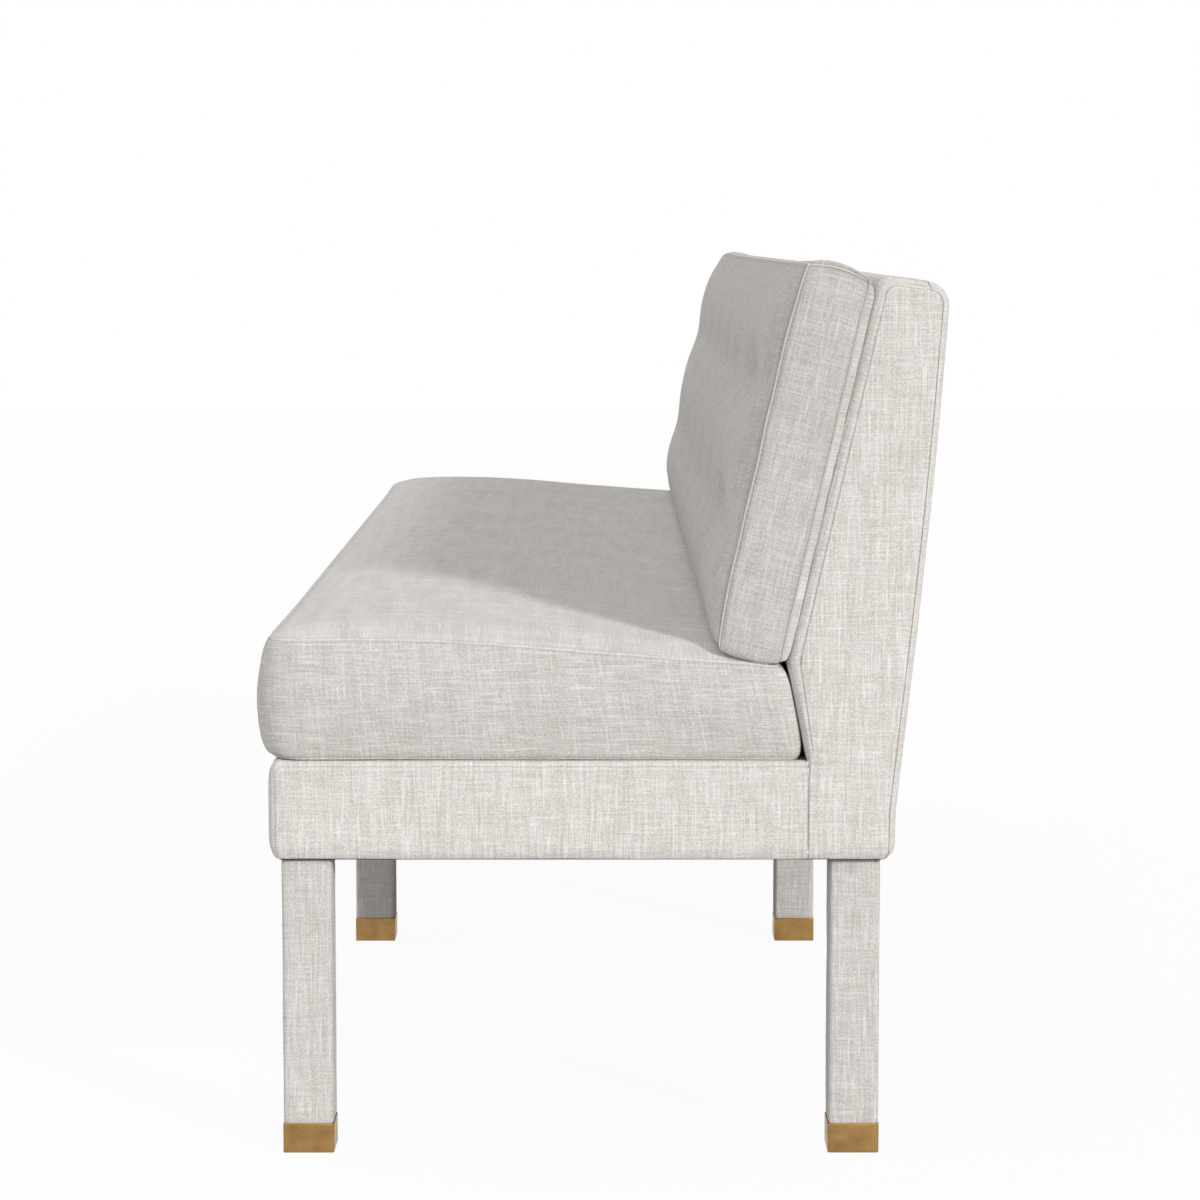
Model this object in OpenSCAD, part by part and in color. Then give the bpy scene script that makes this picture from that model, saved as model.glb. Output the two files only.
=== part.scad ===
// Armless upholstered banquette: a wood frame on six covered legs with square metal ferrules,
// a loose box cushion on the deck and a loose tufted box cushion that leans on the raked back.
// Millimetres. X runs along the length, -Y is the front, Z is up, and the floor is Z = 0.

/* [Bench] */
// Length over the upholstered base
bench_l = 2264; // [1900:1:2500]
// Front of the front feet to the rear of the rear feet
stance_d = 600; // [570:1:640]
// Floor to the underside of the base
leg_h = 300; // [200:1:360]
// Height of the upholstered base
base_h = 100; // [90:1:130]
// How far the base stands out past the feet, front and rear
overhang_d = 11; // [8:0.5:20]
// How far the base stands out past the feet at each end
overhang_l = 11.75; // [8:0.25:30]

/* [Legs and ferrules] */
// Width of a square ferrule
ferrule_w = 51.5; // [44:0.5:60]
// Height of a ferrule
ferrule_h = 29.4; // [20:0.2:50]
// Wall of a ferrule
ferrule_wall = 2; // [1.2:0.1:3]
// Step from the ferrule in to the leg's cloth
sleeve_step = 0.5; // [0.2:0.1:1.2]
// Radius on the upright corners of a leg
leg_corner_r = 5; // [3.5:0.5:8]
// How far a glide stands below its ferrule
glide_drop = 1; // [0.5:0.1:2]
// Diameter of a glide
glide_d = 28; // [20:1:32]

/* [Timber] */
// Thickness of the rails
rail_t = 19; // [16:0.5:25]
// Thickness of the back posts
post_t = 19; // [16:0.5:22]
// Thickness of the deck board
deck_board_t = 12; // [9:0.5:18]
// Thickness of the board inside the back
back_board_t = 5; // [3:0.5:8]
// Side of a leg block
block_w = 80; // [70:1:100]
// Height of a leg block
block_h = 38; // [30:1:50]
// Width of the back's tacking rails
tack_rail_w = 60; // [40:1:80]

/* [Upholstery] */
// Thickness of the cloth
cloth_t = 1.5; // [1:0.1:2]
// Cloth and wadding together, on every padded face
pad_t = 9; // [8.5:0.5:12]
// Radius of the padded edges
edge_r = 8; // [6:0.25:8.25]
// How far the cloth turns in past an edge
turn_in = 10; // [8.5:0.25:10.5]
// Radius of the base's upright corners
corner_r = 12; // [11:0.5:20]
// Height over which the base's lower edge rolls under
base_roll_h = 18; // [8:1:30]
// Cloth and wadding over the deck board
deck_pad_t = 4; // [3:0.5:6]

/* [Back] */
// Depth of the back at the base
back_foot_d = 86; // [76:1:100]
// Lean of the back's front face, in degrees
rake_front = 12.85; // [8:0.1:15]
// Lean of the back's rear face, in degrees
rake_rear = 5.9; // [4:0.1:8]
// Height of the knee in the front face over the base
knee_h = 100; // [90:1:120]
// How far the knee stands ahead of the foot of the back
knee_reach = 21; // [16:0.5:28]
// Height of the bend in the rear face over the underside of the base
bend_h = 52; // [30:1:80]
// Height of the front face over the knee, along its slope
back_face_l = 392; // [340:1:440]
// Slope of the back's top down to the rear, in degrees
top_fall = 7; // [2:0.5:12]
// Radius of the back's top front edge
top_front_r = 18; // [12:1:20]
// Radius of the back's top rear edge
top_rear_r = 24; // [12:1:30]
// Radius of the knee
knee_r = 24; // [12:1:40]

/* [Seat cushion] */
// Height of the front boxing
seat_front_t = 121; // [100:1:140]
// Height of the rear boxing
seat_rear_t = 95.5; // [80:0.5:97]
// How far the lower front seam stands ahead of the feet
seat_front_low = 0; // [0:0.5:10]
// How far the upper front seam stands ahead of the feet
seat_front_high = 10; // [6:0.5:20]
// Bulge of the front boxing
seat_front_bulge = 21; // [8:0.5:24]
// Rise of the top at the end seams
seat_end_rise = 8.5; // [4:0.5:12]
// Rise of the top at mid length
seat_mid_rise = 15; // [9:0.5:20]
// Gap between the rear boxing and the back
seat_rear_gap = 1; // [1:0.5:6]
// How far the rear boxing rolls in at its two seams
seat_rear_roll = 10.5; // [4:0.5:12]

/* [Back cushion] */
// Height of the cushion between its seams
bolster_h = 387; // [340:1:440]
// Thickness of the cushion at its boxing
bolster_t = 68; // [60:1:80]
// Swell of the front panel between the tufts
bolster_swell = 24; // [8:0.5:26]
// How deep a tuft is drawn in below the swell
tuft_depth = 18; // [5:0.5:20]
// Bulge of the top boxing
bolster_top_bulge = 11; // [4:0.5:14]
// Bulge of the bottom boxing
bolster_low_bulge = 7; // [3:0.5:8]
// Tufts in each of the two rows
tuft_columns = 6; // [4:1:8]
// Upper tuft row, share of the way down the front panel
tuft_row_high = 0.34; // [0.2:0.01:0.45]
// Lower tuft row, share of the way down
tuft_row_low = 0.71; // [0.55:0.01:0.8]
// Length of a tuft's stitch
stitch_l = 19; // [12:0.5:26]

/* [Cushion zips] */
// Length of zip left out at each end of a cushion
zip_end_gap = 60; // [40:1:120]
// Width of the groove that hides a zip
zip_groove_w = 12; // [11:0.5:14]
// Depth of that groove
zip_groove_d = 6.5; // [6.2:0.1:8]
// Length of a zip slider
slider_l = 11; // [8:0.5:14]

/* [Fixings] */
// Diameter of a hanger bolt
bolt_d = 8; // [6:0.5:10]
// Length of a hanger bolt in the leg
bolt_in_leg = 45; // [30:1:60]
// Diameter of a wood screw
screw_d = 4.5; // [3.5:0.5:6]
// Length of a wood screw
screw_l = 45; // [40:1:55]

/* [Hidden] */
SIDES = ["right", "middle", "left"];
ROWS = ["front", "rear"];
LEG_NAMES = [for (row = ROWS, side = SIDES) str(row, "_", side)];
POST_NAMES = ["right_end", "right_inner", "left_inner", "left_end"];
$fn = 32;

rest_gap = 0.4;
half_l = bench_l / 2;
base_top = leg_h + base_h;
front_y = -overhang_d;
rear_y = stance_d + overhang_d;
foot_y = rear_y - back_foot_d;
rail_z = leg_h + cloth_t;
rail_top = base_top - deck_pad_t - deck_board_t;
rail_x = half_l - pad_t;
rail_y = front_y + pad_t;
rear_rail_y = rear_y - pad_t;
post_y = foot_y + pad_t;
leg_x = half_l - overhang_l - ferrule_w / 2;
leg_ys = [ferrule_w / 2, stance_d - ferrule_w / 2];
leg_w = ferrule_w - 2 * sleeve_step;
timber_w = ferrule_w - 2 * ferrule_wall;

// Glue lines and the like: what wadding and boards leave free of the timber under them
fit_gap = 0.1;
board_back = -pad_t - back_board_t - fit_gap;
wadding_in = pad_t - fit_gap;

// The back's end profile as sharp corners in (y, z), counterclockwise from the foot of the front face
knee = [foot_y - knee_reach, base_top + knee_h];
top_front = knee + back_face_l * [sin(rake_front), cos(rake_front)];
bend = [rear_y, leg_h + bend_h];
fall = tan(top_fall);
lean_rear = tan(rake_rear);
top_rear_z = (top_front[1] + fall * (top_front[0] - bend[0] + lean_rear * bend[1])) / (1 + fall * lean_rear);
top_rear = [bend[0] + lean_rear * (top_rear_z - bend[1]), top_rear_z];
back_corners = [[foot_y, leg_h], [rear_y, leg_h], bend, top_rear, top_front, knee, [foot_y, base_top]];
back_radii = [0, edge_r, 0, top_rear_r, top_front_r, knee_r, 0];
arc_steps = 4;
rear_last = 2 * (arc_steps + 1) + 1;

// Corners of the two cushions' cross-sections, counterclockwise in (y, z)
seat_z = base_top + rest_gap;
face_slope = knee_reach / knee_h;
seat_rear_low = foot_y - face_slope * rest_gap - seat_rear_gap - seat_rear_roll;
seat_rear_high = foot_y - face_slope * (rest_gap + seat_rear_t) - seat_rear_gap - seat_rear_roll;
seat_corners = [[-seat_front_low, seat_z], [seat_rear_low, seat_z],
                [seat_rear_high, seat_z + seat_rear_t], [-seat_front_high, seat_z + seat_front_t]];
bolster_foot = 2;
bolster_corners = [lean(bolster_foot + 1, rest_gap), lean(bolster_foot + bolster_h, rest_gap + 2),
                   lean(bolster_h, rest_gap + bolster_t), lean(-bolster_foot, rest_gap + bolster_t)];
bolster_pitch = bench_l / (tuft_columns + 1);

outline_back = fillets(back_corners, back_radii);
seat_front_reach = min([for (p = seat_ring(0, 0)) p[0]]);
back_reach = max([for (p = outline_back) p[0]]);
centre_y = (seat_front_reach + back_reach) / 2;

function unit(v) = v / norm(v);
function left_of(v) = [-v[1], v[0]];
function arc(centre, r, from, to) =
    [for (k = [0 : arc_steps]) let (a = from + (to - from) * k / arc_steps) centre + r * [cos(a), sin(a)]];

// A point beside the back's front face: u up its slope from the knee, w out of it towards the front
function lean(u, w) = knee + u * [sin(rake_front), cos(rake_front)] + w * [-cos(rake_front), sin(rake_front)];

// Corners of a counterclockwise outline moved inward, by one distance for each edge
function inset(c, d) = [for (i = [0 : len(c) - 1])
    let (before = (i + len(c) - 1) % len(c), after = (i + 1) % len(c),
         n1 = left_of(unit(c[i] - c[before])), n2 = left_of(unit(c[after] - c[i])), k = n1 * n2)
    c[i] + ((d[before] - k * d[i]) * n1 + (d[i] - k * d[before]) * n2) / (1 - k * k)];

// The same corners rounded, each with its own radius, or left sharp where the radius is nought
function fillets(c, radii) = [for (i = [0 : len(c) - 1])
    let (a = unit(c[(i + len(c) - 1) % len(c)] - c[i]), b = unit(c[(i + 1) % len(c)] - c[i]),
         half = acos(a * b) / 2, r = radii[i])
    each r == 0 ? [c[i]] : [for (k = [0 : arc_steps])
        let (turn = (180 - 2 * half) * (k / arc_steps - 0.5), mid = -unit(a + b))
        c[i] - mid * r / sin(half) + r * [mid[0] * cos(turn) - mid[1] * sin(turn),
                                           mid[0] * sin(turn) + mid[1] * cos(turn)]]];
function evenly(n, d) = [for (i = [1 : n]) d];
function back_inset(d) = inset(back_corners, evenly(7, d));
function inner_radii(d) = [for (r = back_radii) r == 0 ? 0 : max(r - 0.4 * d, 2)];
function back_path(d) = fillets(back_inset(d), inner_radii(d));

// Stations on the back's outline: the rear cover takes the bottom fillet to the top rear one
function rear_stretch(d) = [for (i = [1 : rear_last]) back_path(d)[i]];
function front_stretch(d) = [for (i = [rear_last : len(back_path(d)) - 1]) back_path(d)[i]];

// The base's plan outline from one back seam round the front to the other, moved inward by d
function plan_path(d) = concat([[half_l - d, foot_y]],
    arc([half_l - corner_r, front_y + corner_r], corner_r - d, 0, -90),
    arc([-half_l + corner_r, front_y + corner_r], corner_r - d, -90, -180),
    [[-half_l + d, foot_y]]);

// Cloth that turns in over two rounded edges a distance apart, as [inset, place] round its section;
// the first edge may roll over a greater height than the second
function turned(size, roll_h = edge_r) = concat(
    [[turn_in, 0]], [for (a = [0 : 30 : 90]) [edge_r * (1 - sin(a)), roll_h * (1 - cos(a))]],
    [for (a = [90 : -30 : 0]) [edge_r * (1 - sin(a)), size - edge_r * (1 - cos(a))]], [[turn_in, size]],
    [[turn_in, size - cloth_t]],
    [for (a = [0 : 30 : 90])
        [edge_r - (edge_r - cloth_t) * sin(a), size - edge_r + (edge_r - cloth_t) * cos(a)]],
    [for (a = [90 : -30 : 0])
        [edge_r - (edge_r - cloth_t) * sin(a), roll_h - (roll_h - cloth_t) * cos(a)]],
    [[turn_in, cloth_t]]);

// A side of a cushion's section from a to b: n points that bow out by the bulge, seam corners eased
function side(a, b, bulge, n, skew = 1) = let (t0 = 5 / norm(b - a), out = -left_of(unit(b - a)))
    [for (k = [0 : n - 1]) let (t = t0 + (1 - 2 * t0) * k / (n - 1))
        a + t * (b - a) + bulge * sin(180 * pow(t, skew)) * out];

// A filled side's share of its bulge at t of its width: it rolls in at both seams, and a high p keeps it flat
function fullness(t, p) = sqrt(1 - pow(abs(2 * t - 1), p));

// A filled side from a to b, each half with its own flatness
function full_side(a, b, bulge, p_first, p_last) = let (out = -left_of(unit(b - a)))
    [for (t = [0.012, 0.06, 0.14, 0.27, 0.42, 0.58, 0.73, 0.86, 0.94, 0.988])
        a + t * (b - a) + bulge * fullness(t, t < 0.5 ? p_first : p_last) * out];

// A filled side with a groove of depth g along its middle
function grooved_side(a, b, bulge, g, p) = let (l = norm(b - a), out = -left_of(unit(b - a)),
    h = zip_groove_w / 2 / l)
    [for (s = [0.015, 0.07, 0.2, 0.49 - h, 0.5 - h, 0.5 + h, 0.51 + h, 0.8, 0.93, 0.985])
        a + s * (b - a) + (abs(s - 0.5) < h + 0.005 ? bulge - g : bulge * fullness(s, p)) * out];

function seat_rise(x) = seat_end_rise + (seat_mid_rise - seat_end_rise) * (1 - pow(abs(x) / half_l, 4));
function seat_ring(d, rise, g = 0) = let (c = inset(seat_corners, evenly(4, d)))
    concat(side(c[0], c[1], 0, 3), grooved_side(c[1], c[2], seat_rear_roll, g, 4),
           side(c[2], c[3], rise, 9, 1 / 0.6), full_side(c[3], c[0], seat_front_bulge, 1.3, 4));

// Swell of the back cushion's front panel at t of its height, drawn in along two rows and at each tuft
tuft_rows = [tuft_row_high, tuft_row_low];
function row_dip(t) = max([for (row = tuft_rows) exp(-pow((t - row) / 0.09, 2))]);
function tuft_dip(t, x) = max([for (row = tuft_rows, c = [1 : tuft_columns])
    let (dx = (x + half_l - c * bolster_pitch) / 60, dt = (t - row) / 0.1) exp(-dx * dx - dt * dt)]);
function swell(t, x) = bolster_swell * pow(sin(180 * t), 0.5) * (1 - 0.35 * row_dip(t))
    - (tuft_depth - 0.35 * bolster_swell) * tuft_dip(t, x);
// The front panel from seam to seam: four steps to the upper row, four to the lower and four on
function front_side(a, b, x) = let (t0 = 4 / norm(b - a), out = -left_of(unit(b - a)),
    marks = [t0, tuft_row_high, tuft_row_low, 1 - t0])
    [for (i = [0 : 2], k = [0 : i == 2 ? 4 : 3]) let (t = marks[i] + (marks[i + 1] - marks[i]) * k / 4)
        a + t * (b - a) + swell(t, x) * out];
function bolster_ring(d, x, g = 0) = let (c = inset(bolster_corners, evenly(4, d)))
    concat(side(c[0], c[1], 0, 4), side(c[1], c[2], bolster_top_bulge, 5),
           front_side(c[2], c[3], x), grooved_side(c[3], c[0], bolster_low_bulge, g, 2));

// Stations along a cushion: [x, inset], with rounded ends whose middles stand out a little
end_swell = 4;
seam_r = 3.5;
function end_stations() = concat(
    [for (a = [0 : 30 : 90]) [half_l - end_swell - seam_r * (1 - sin(a)), seam_r * (1 - cos(a))]],
    [[half_l - 1, seam_r + 22]]);
function reversed(v) = [for (i = [len(v) - 1 : -1 : 0]) v[i]];
zip_x = half_l - zip_end_gap;
function stations(inner) = concat([for (s = reversed(end_stations())) [-s[0], s[1]]],
    [[-zip_x - 6, 0], [-zip_x, 0]], [for (x = inner) [x, 0]], [[zip_x, 0], [zip_x + 6, 0]], end_stations());
function groove_at(s) = abs(s[0]) <= zip_x + 0.01 ? zip_groove_d : 0;

// Everything is drawn with the front feet at Y = 0, then moved so that Y = 0 is mid depth
module centred() {
    translate([0, -centre_y, 0]) children();
}

module box(low, high) {
    translate(low) cube(high - low);
}

// A profile in (y, z) carried along X
module along_x(x0, x1, outline) {
    translate([x0, 0, 0]) rotate([90, 0, 90]) linear_extrude(x1 - x0) polygon(outline);
}

// Rings of equal length joined by triangles, closed by a strip across each end ring or by a fan to its middle
module loft(rings, strip) {
    n = len(rings[0]);
    m = len(rings);
    walls = [for (i = [0 : m - 2], j = [0 : n - 1])
        let (a = i * n + j, b = i * n + (j + 1) % n)
        each [[a, a + n, b + n], [a, b + n, b]]];
    function strip_cap(o) = [for (j = [0 : n / 2 - 2])
        each [[o + j, o + j + 1, o + n - 2 - j], [o + j, o + n - 2 - j, o + n - 1 - j]]];
    function fan_cap(o, middle) = [for (j = [0 : n - 1]) [o + j, o + (j + 1) % n, middle]];
    function flip(faces) = [for (f = faces) [f[0], f[2], f[1]]];
    first = strip ? strip_cap(0) : fan_cap(0, m * n);
    last = strip ? strip_cap((m - 1) * n) : fan_cap((m - 1) * n, m * n + 1);
    middles = strip ? [] : [for (r = [rings[0], rings[m - 1]]) mean(r) + [sign(r[0][0]), 0, 0]];
    polyhedron(concat([for (r = rings) each r], middles), concat(walls, first, flip(last)));
}
function mean(points) = let (ones = evenly(len(points), 1))
    [for (k = [0 : 2]) [for (p = points) p[k]] * ones / len(points)];

// Timber across the front, its upright front corners eased for the cloth, from z0 to z1 and back to y1
module front_timber(y1, z0, z1) {
    r = corner_r - pad_t;
    translate([0, 0, z0]) linear_extrude(z1 - z0)
        polygon(fillets([[-rail_x, rail_y], [rail_x, rail_y], [rail_x, y1], [-rail_x, y1]], [r, r, 0, 0]));
}

module front_rail() {
    color("burlywood") centred() difference() {
        front_timber(rail_y + rail_t, rail_z, rail_top);
        block_screw_shapes();
    }
}

module rear_rail() {
    color("burlywood") centred() difference() {
        box([-rail_x + post_t, rear_rail_y - rail_t, rail_z], [rail_x - post_t, rear_rail_y, rail_top]);
        block_screw_shapes();
    }
}

module end_rail(s) {
    color("burlywood") centred() scale([s, 1, 1])
        box([rail_x - rail_t, rail_y + rail_t, rail_z], [rail_x, post_y, rail_top]);
}

// A rail from front to rear; the middle one stops at the middle leg blocks
module cross_rail(x, shorter) {
    color("burlywood") centred()
        box([x - rail_t / 2, rail_y + rail_t + shorter, rail_z],
            [x + rail_t / 2, rear_rail_y - rail_t - shorter, rail_top]);
}

module deck_board() {
    color("tan") centred() front_timber(post_y, rail_top, rail_top + deck_board_t);
}

// Block positions: [x, y] of the block's middle and which way is inboard from its rail
block_xs = [rail_x - post_t - block_w / 2, 0, -rail_x + post_t + block_w / 2];
block_ys = [rail_y + rail_t + block_w / 2, rear_rail_y - rail_t - block_w / 2];
leg_xs = [leg_x, 0, -leg_x];

module at_legs() {
    for (y = leg_ys, x = leg_xs) translate([x, y, 0]) children();
}

module leg_blocks() {
    color("wheat") centred() difference() {
        for (y = block_ys, i = [0 : 2])
            box([block_xs[i] - block_w / 2, y - block_w / 2, rail_z],
                [block_xs[i] + block_w / 2, y + block_w / 2, rail_z + block_h]);
        hanger_bolt_shapes();
        t_nut_shapes();
        block_screw_shapes();
    }
}

// Two screws through the rail into each block
module block_screw_shapes() {
    for (i = [0 : 2], dx = [-1, 1], row = [0, 1]) {
        y = row == 0 ? rail_y : rear_rail_y;
        translate([block_xs[i] + dx * block_w / 4, y, rail_z + block_h / 2])
            rotate([row == 0 ? -90 : 90, 0, 0]) {
                cylinder(h = screw_l, d = screw_d);
                cylinder(h = screw_d / 2, d1 = 2 * screw_d, d2 = screw_d);
            }
    }
}

module block_screws() {
    color("silver") centred() block_screw_shapes();
}

// Headless bolts that stand out of each leg and run up through its block
module hanger_bolt_shapes() {
    at_legs() translate([0, 0, leg_h - bolt_in_leg])
        cylinder(h = bolt_in_leg + cloth_t + block_h, d = bolt_d);
}

module hanger_bolts() {
    color("silver") centred() hanger_bolt_shapes();
}

nut_flange_d = 1.6 * bolt_d;
nut_flange_t = 1.5;
nut_barrel_d = bolt_d + 2.4;
nut_l = 11;
module t_nut_shapes() {
    at_legs() translate([0, 0, rail_z + block_h]) {
        translate([0, 0, -nut_l]) cylinder(h = nut_l, d = nut_barrel_d);
        cylinder(h = nut_flange_t, d = nut_flange_d);
    }
}

module t_nuts() {
    color("silver") centred() difference() {
        t_nut_shapes();
        at_legs() translate([0, 0, rail_z]) cylinder(h = 2 * block_h, d = bolt_d);
    }
}

// Leg timber, its cloth sleeve, its ferrule and its glide
timber_z = glide_drop + ferrule_wall;
module leg_post(x, y) {
    color("burlywood") centred() translate([x, y, 0]) difference() {
        translate([0, 0, timber_z]) linear_extrude(leg_h - timber_z) square(timber_w, center = true);
        translate([0, 0, leg_h - bolt_in_leg]) cylinder(h = bolt_in_leg + 1, d = bolt_d);
        translate([0, 0, 1]) cylinder(h = glide_nail_l, d = glide_nail_d);
    }
}

module rounded_square(w, r) {
    polygon(fillets([[-w / 2, -w / 2], [w / 2, -w / 2], [w / 2, w / 2], [-w / 2, w / 2]], evenly(4, r)));
}

module leg_sleeve(x, y) {
    color("gainsboro") centred() translate([x, y, glide_drop + ferrule_h])
        linear_extrude(leg_h - glide_drop - ferrule_h)
            difference() {
                rounded_square(leg_w, leg_corner_r);
                square(timber_w, center = true);
            }
}

module ferrule(x, y) {
    color("darkgoldenrod") centred() translate([x, y, glide_drop]) difference() {
        linear_extrude(ferrule_h) rounded_square(ferrule_w, 2);
        translate([0, 0, ferrule_wall]) linear_extrude(ferrule_h) square(timber_w, center = true);
        translate([0, 0, -1]) cylinder(h = ferrule_wall + 2, d = glide_d);
    }
}

glide_nail_d = 3;
glide_nail_l = 18;
module glides() {
    color("dimgray") centred() at_legs() {
        cylinder(h = timber_z, d = glide_d);
        translate([0, 0, 1]) cylinder(h = glide_nail_l, d = glide_nail_d);
    }
}

// Back frame: end posts outside, inner posts notched for every rail that crosses them
post_outline = fillets(
    inset(back_corners, [cloth_t, pad_t, pad_t, pad_t, -board_back, -board_back, pad_t + fit_gap]),
    [for (i = [0 : 6]) i == 1 ? 0 : inner_radii(pad_t)[i]]);
post_xs = [rail_x - post_t, rail_x / 3, -rail_x / 3, -rail_x];
module back_post(i) {
    inner = i == 1 || i == 2;
    color("burlywood") centred() difference() {
        along_x(post_xs[i] - (inner ? post_t / 2 : 0), post_xs[i] + (inner ? post_t / 2 : post_t),
            post_outline);
        if (inner) {
            box([-bench_l, rear_rail_y - rail_t, leg_h], [bench_l, rear_y, rail_top]);
            tack_rail_shape(top_rail_u, 0);
            tack_rail_shape(low_rail_u, 0);
        }
    }
}

// A board let into the posts behind the front face, from u up the slope; its notch runs out at the front
low_rail_u = 10;
top_rail_u = back_face_l - tack_rail_w - 22;
module tack_rail_shape(u, front) {
    rear = board_back - rail_t;
    along_x(-rail_x + post_t, rail_x - post_t,
            [lean(u, front), lean(u, rear), lean(u + tack_rail_w, rear), lean(u + tack_rail_w, front)]);
}

module back_top_rail() {
    color("burlywood") centred() tack_rail_shape(top_rail_u, board_back);
}

module back_low_rail() {
    color("burlywood") centred() tack_rail_shape(low_rail_u, board_back);
}

board_foot = 6;
module back_board() {
    top = top_rail_u + tack_rail_w;
    color("tan") centred() along_x(-rail_x, rail_x,
        [lean(board_foot, -pad_t), lean(board_foot, -pad_t - back_board_t),
         lean(top, -pad_t - back_board_t), lean(top, -pad_t)]);
}

// Wadding under the base's cloth, thinning round the two edges
module base_wadding() {
    r = edge_r - cloth_t;
    section = concat(
        [for (a = [0 : 30 : 90])
            [edge_r - r * sin(a), leg_h + base_roll_h - (base_roll_h - cloth_t) * cos(a)]],
        [for (a = [90 : -30 : 0]) [edge_r - r * sin(a), base_top - edge_r + r * cos(a)]]);
    inner = [for (s = reversed(section)) [wadding_in, s[1]]];
    color("white") centred() plan_sweep(concat(section, inner));
}

module base_cover() {
    color("gainsboro") centred() plan_sweep([for (s = turned(base_h, base_roll_h)) [s[0], leg_h + s[1]]]);
}

module plan_sweep(section) {
    paths = [for (s = section) plan_path(s[0])];
    loft([for (p = [0 : len(paths[0]) - 1]) [for (k = [0 : len(section) - 1])
        [paths[k][p][0], paths[k][p][1], section[k][1]]]], true);
}

module deck_cover() {
    color("gainsboro") centred()
        box([-half_l + turn_in, front_y + turn_in, base_top - deck_pad_t],
            [half_l - turn_in, foot_y, base_top]);
}

module dust_cover() {
    color("dimgray") centred() difference() {
        box([-half_l + turn_in, front_y + turn_in, leg_h],
            [half_l - turn_in, rear_y - turn_in, leg_h + cloth_t]);
        hanger_bolt_shapes();
    }
}

// Staples along the dust cover's two long edges
staple_pitch = 90;
module dust_cover_staples() {
    n = floor((bench_l - 2 * 60) / staple_pitch);
    color("silver") centred()
        for (k = [0 : n], y = [front_y + turn_in + 4, rear_y - turn_in - 4])
            if (min([for (x = leg_xs) abs((k - n / 2) * staple_pitch - x)]) > ferrule_w)
                box([(k - n / 2) * staple_pitch - 5, y - 0.6, leg_h - 0.6],
                    [(k - n / 2) * staple_pitch + 5, y + 0.6, leg_h]);
}

// Cloth over the back: a turned section along X carried round part of the end profile
module back_sweep(stretch) {
    section = turned(bench_l);
    insets = [for (s = section) [min(s[0], edge_r), s[1] - half_l]];
    if (stretch == "rear") back_loft([for (s = insets) rear_stretch(s[0])], insets);
    else back_loft([for (s = insets) front_stretch(s[0])], insets);
}

module back_loft(paths, section) {
    loft([for (p = [0 : len(paths[0]) - 1]) [for (k = [0 : len(section) - 1])
        [section[k][1], paths[k][p][0], paths[k][p][1]]]], true);
}

module inside_back_cover() {
    color("gainsboro") centred() back_sweep("front");
}

module outside_back_cover() {
    color("gainsboro") centred() back_sweep("rear");
}

module inside_back_wadding() {
    color("white") centred()
        along_x(-rail_x, rail_x, concat(front_stretch(cloth_t), reversed(front_stretch(wadding_in))));
}

// Behind, it thins round the lower edge down to the rail
module outside_back_wadding() {
    rear = reversed(rear_stretch(wadding_in));
    above_edge = [for (i = [0 : arc_steps + 1]) rear[i]];
    color("white") centred() along_x(-rail_x, rail_x,
        concat(rear_stretch(cloth_t), above_edge, [[rear_rail_y + fit_gap, rail_z]]));
}

// What lies on an end inside the seam: square to the base below the deck, set in from the slopes above it.
// The wadding stops where the cloth rolls under.
function end_outline(d, low) = concat([[foot_y, low], [rear_y - d, low]], rear_stretch(d),
    [for (i = [1 : len(front_stretch(d)) - 2]) front_stretch(d)[i]],
    [[foot_y + d / cos(atan(face_slope)), base_top], [foot_y, base_top]]);
module end_panel(s) {
    color("gainsboro") centred() scale([s, 1, 1])
        along_x(half_l - cloth_t, half_l, end_outline(edge_r + fit_gap, leg_h));
}

module end_wadding(s) {
    color("white") centred() scale([s, 1, 1])
        along_x(rail_x, half_l - cloth_t, end_outline(pad_t + fit_gap, leg_h + edge_r));
}

// Seat cushion: crowned box cover over a flat foam slab, with a zip let into the rear boxing
seat_stations = stations([for (k = [-4 : 4]) k * zip_x / 5]);
module seat_cushion_cover() {
    color("gainsboro") centred() difference() {
        loft([for (s = seat_stations) let (ring = seat_ring(s[1], seat_rise(s[0]), groove_at(s)))
            [for (p = ring) [s[0], p[0], p[1]]]], false);
        seat_foam_shape();
    }
}

module seat_foam_shape() {
    along_x(-half_l + pad_t, half_l - pad_t, inset(seat_corners, evenly(4, pad_t)));
}

module seat_cushion_foam() {
    color("khaki") centred() seat_foam_shape();
}

// Back cushion: the same make, with swells and drawn-in tufts on its front panel
bolster_stations = stations([for (k = [1 - 2 * tuft_columns : 2 * tuft_columns - 1]) k * bolster_pitch / 4]);
module back_cushion_cover() {
    color("gainsboro") centred() difference() {
        loft([for (s = bolster_stations) let (ring = bolster_ring(s[1], s[0], groove_at(s)))
            [for (p = ring) [s[0], p[0], p[1]]]], false);
        bolster_foam_shape();
    }
}

module bolster_foam_shape() {
    along_x(-half_l + pad_t, half_l - pad_t, inset(bolster_corners, evenly(4, pad_t)));
}

module back_cushion_foam() {
    color("khaki") centred() bolster_foam_shape();
}

// One short thread at each tuft, lying in its hollow
module back_cushion_stitches() {
    c = bolster_corners;
    color("gray") centred()
        for (row = tuft_rows, k = [1 : tuft_columns]) {
            x = -half_l + k * bolster_pitch;
            p = c[2] + row * (c[3] - c[2]) - swell(row, x) * left_of(unit(c[3] - c[2]));
            translate([x, p[0], p[1]]) rotate([-rake_front, 0, 0])
                cylinder(h = stitch_l, d = 1.6, center = true);
        }
}

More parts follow.
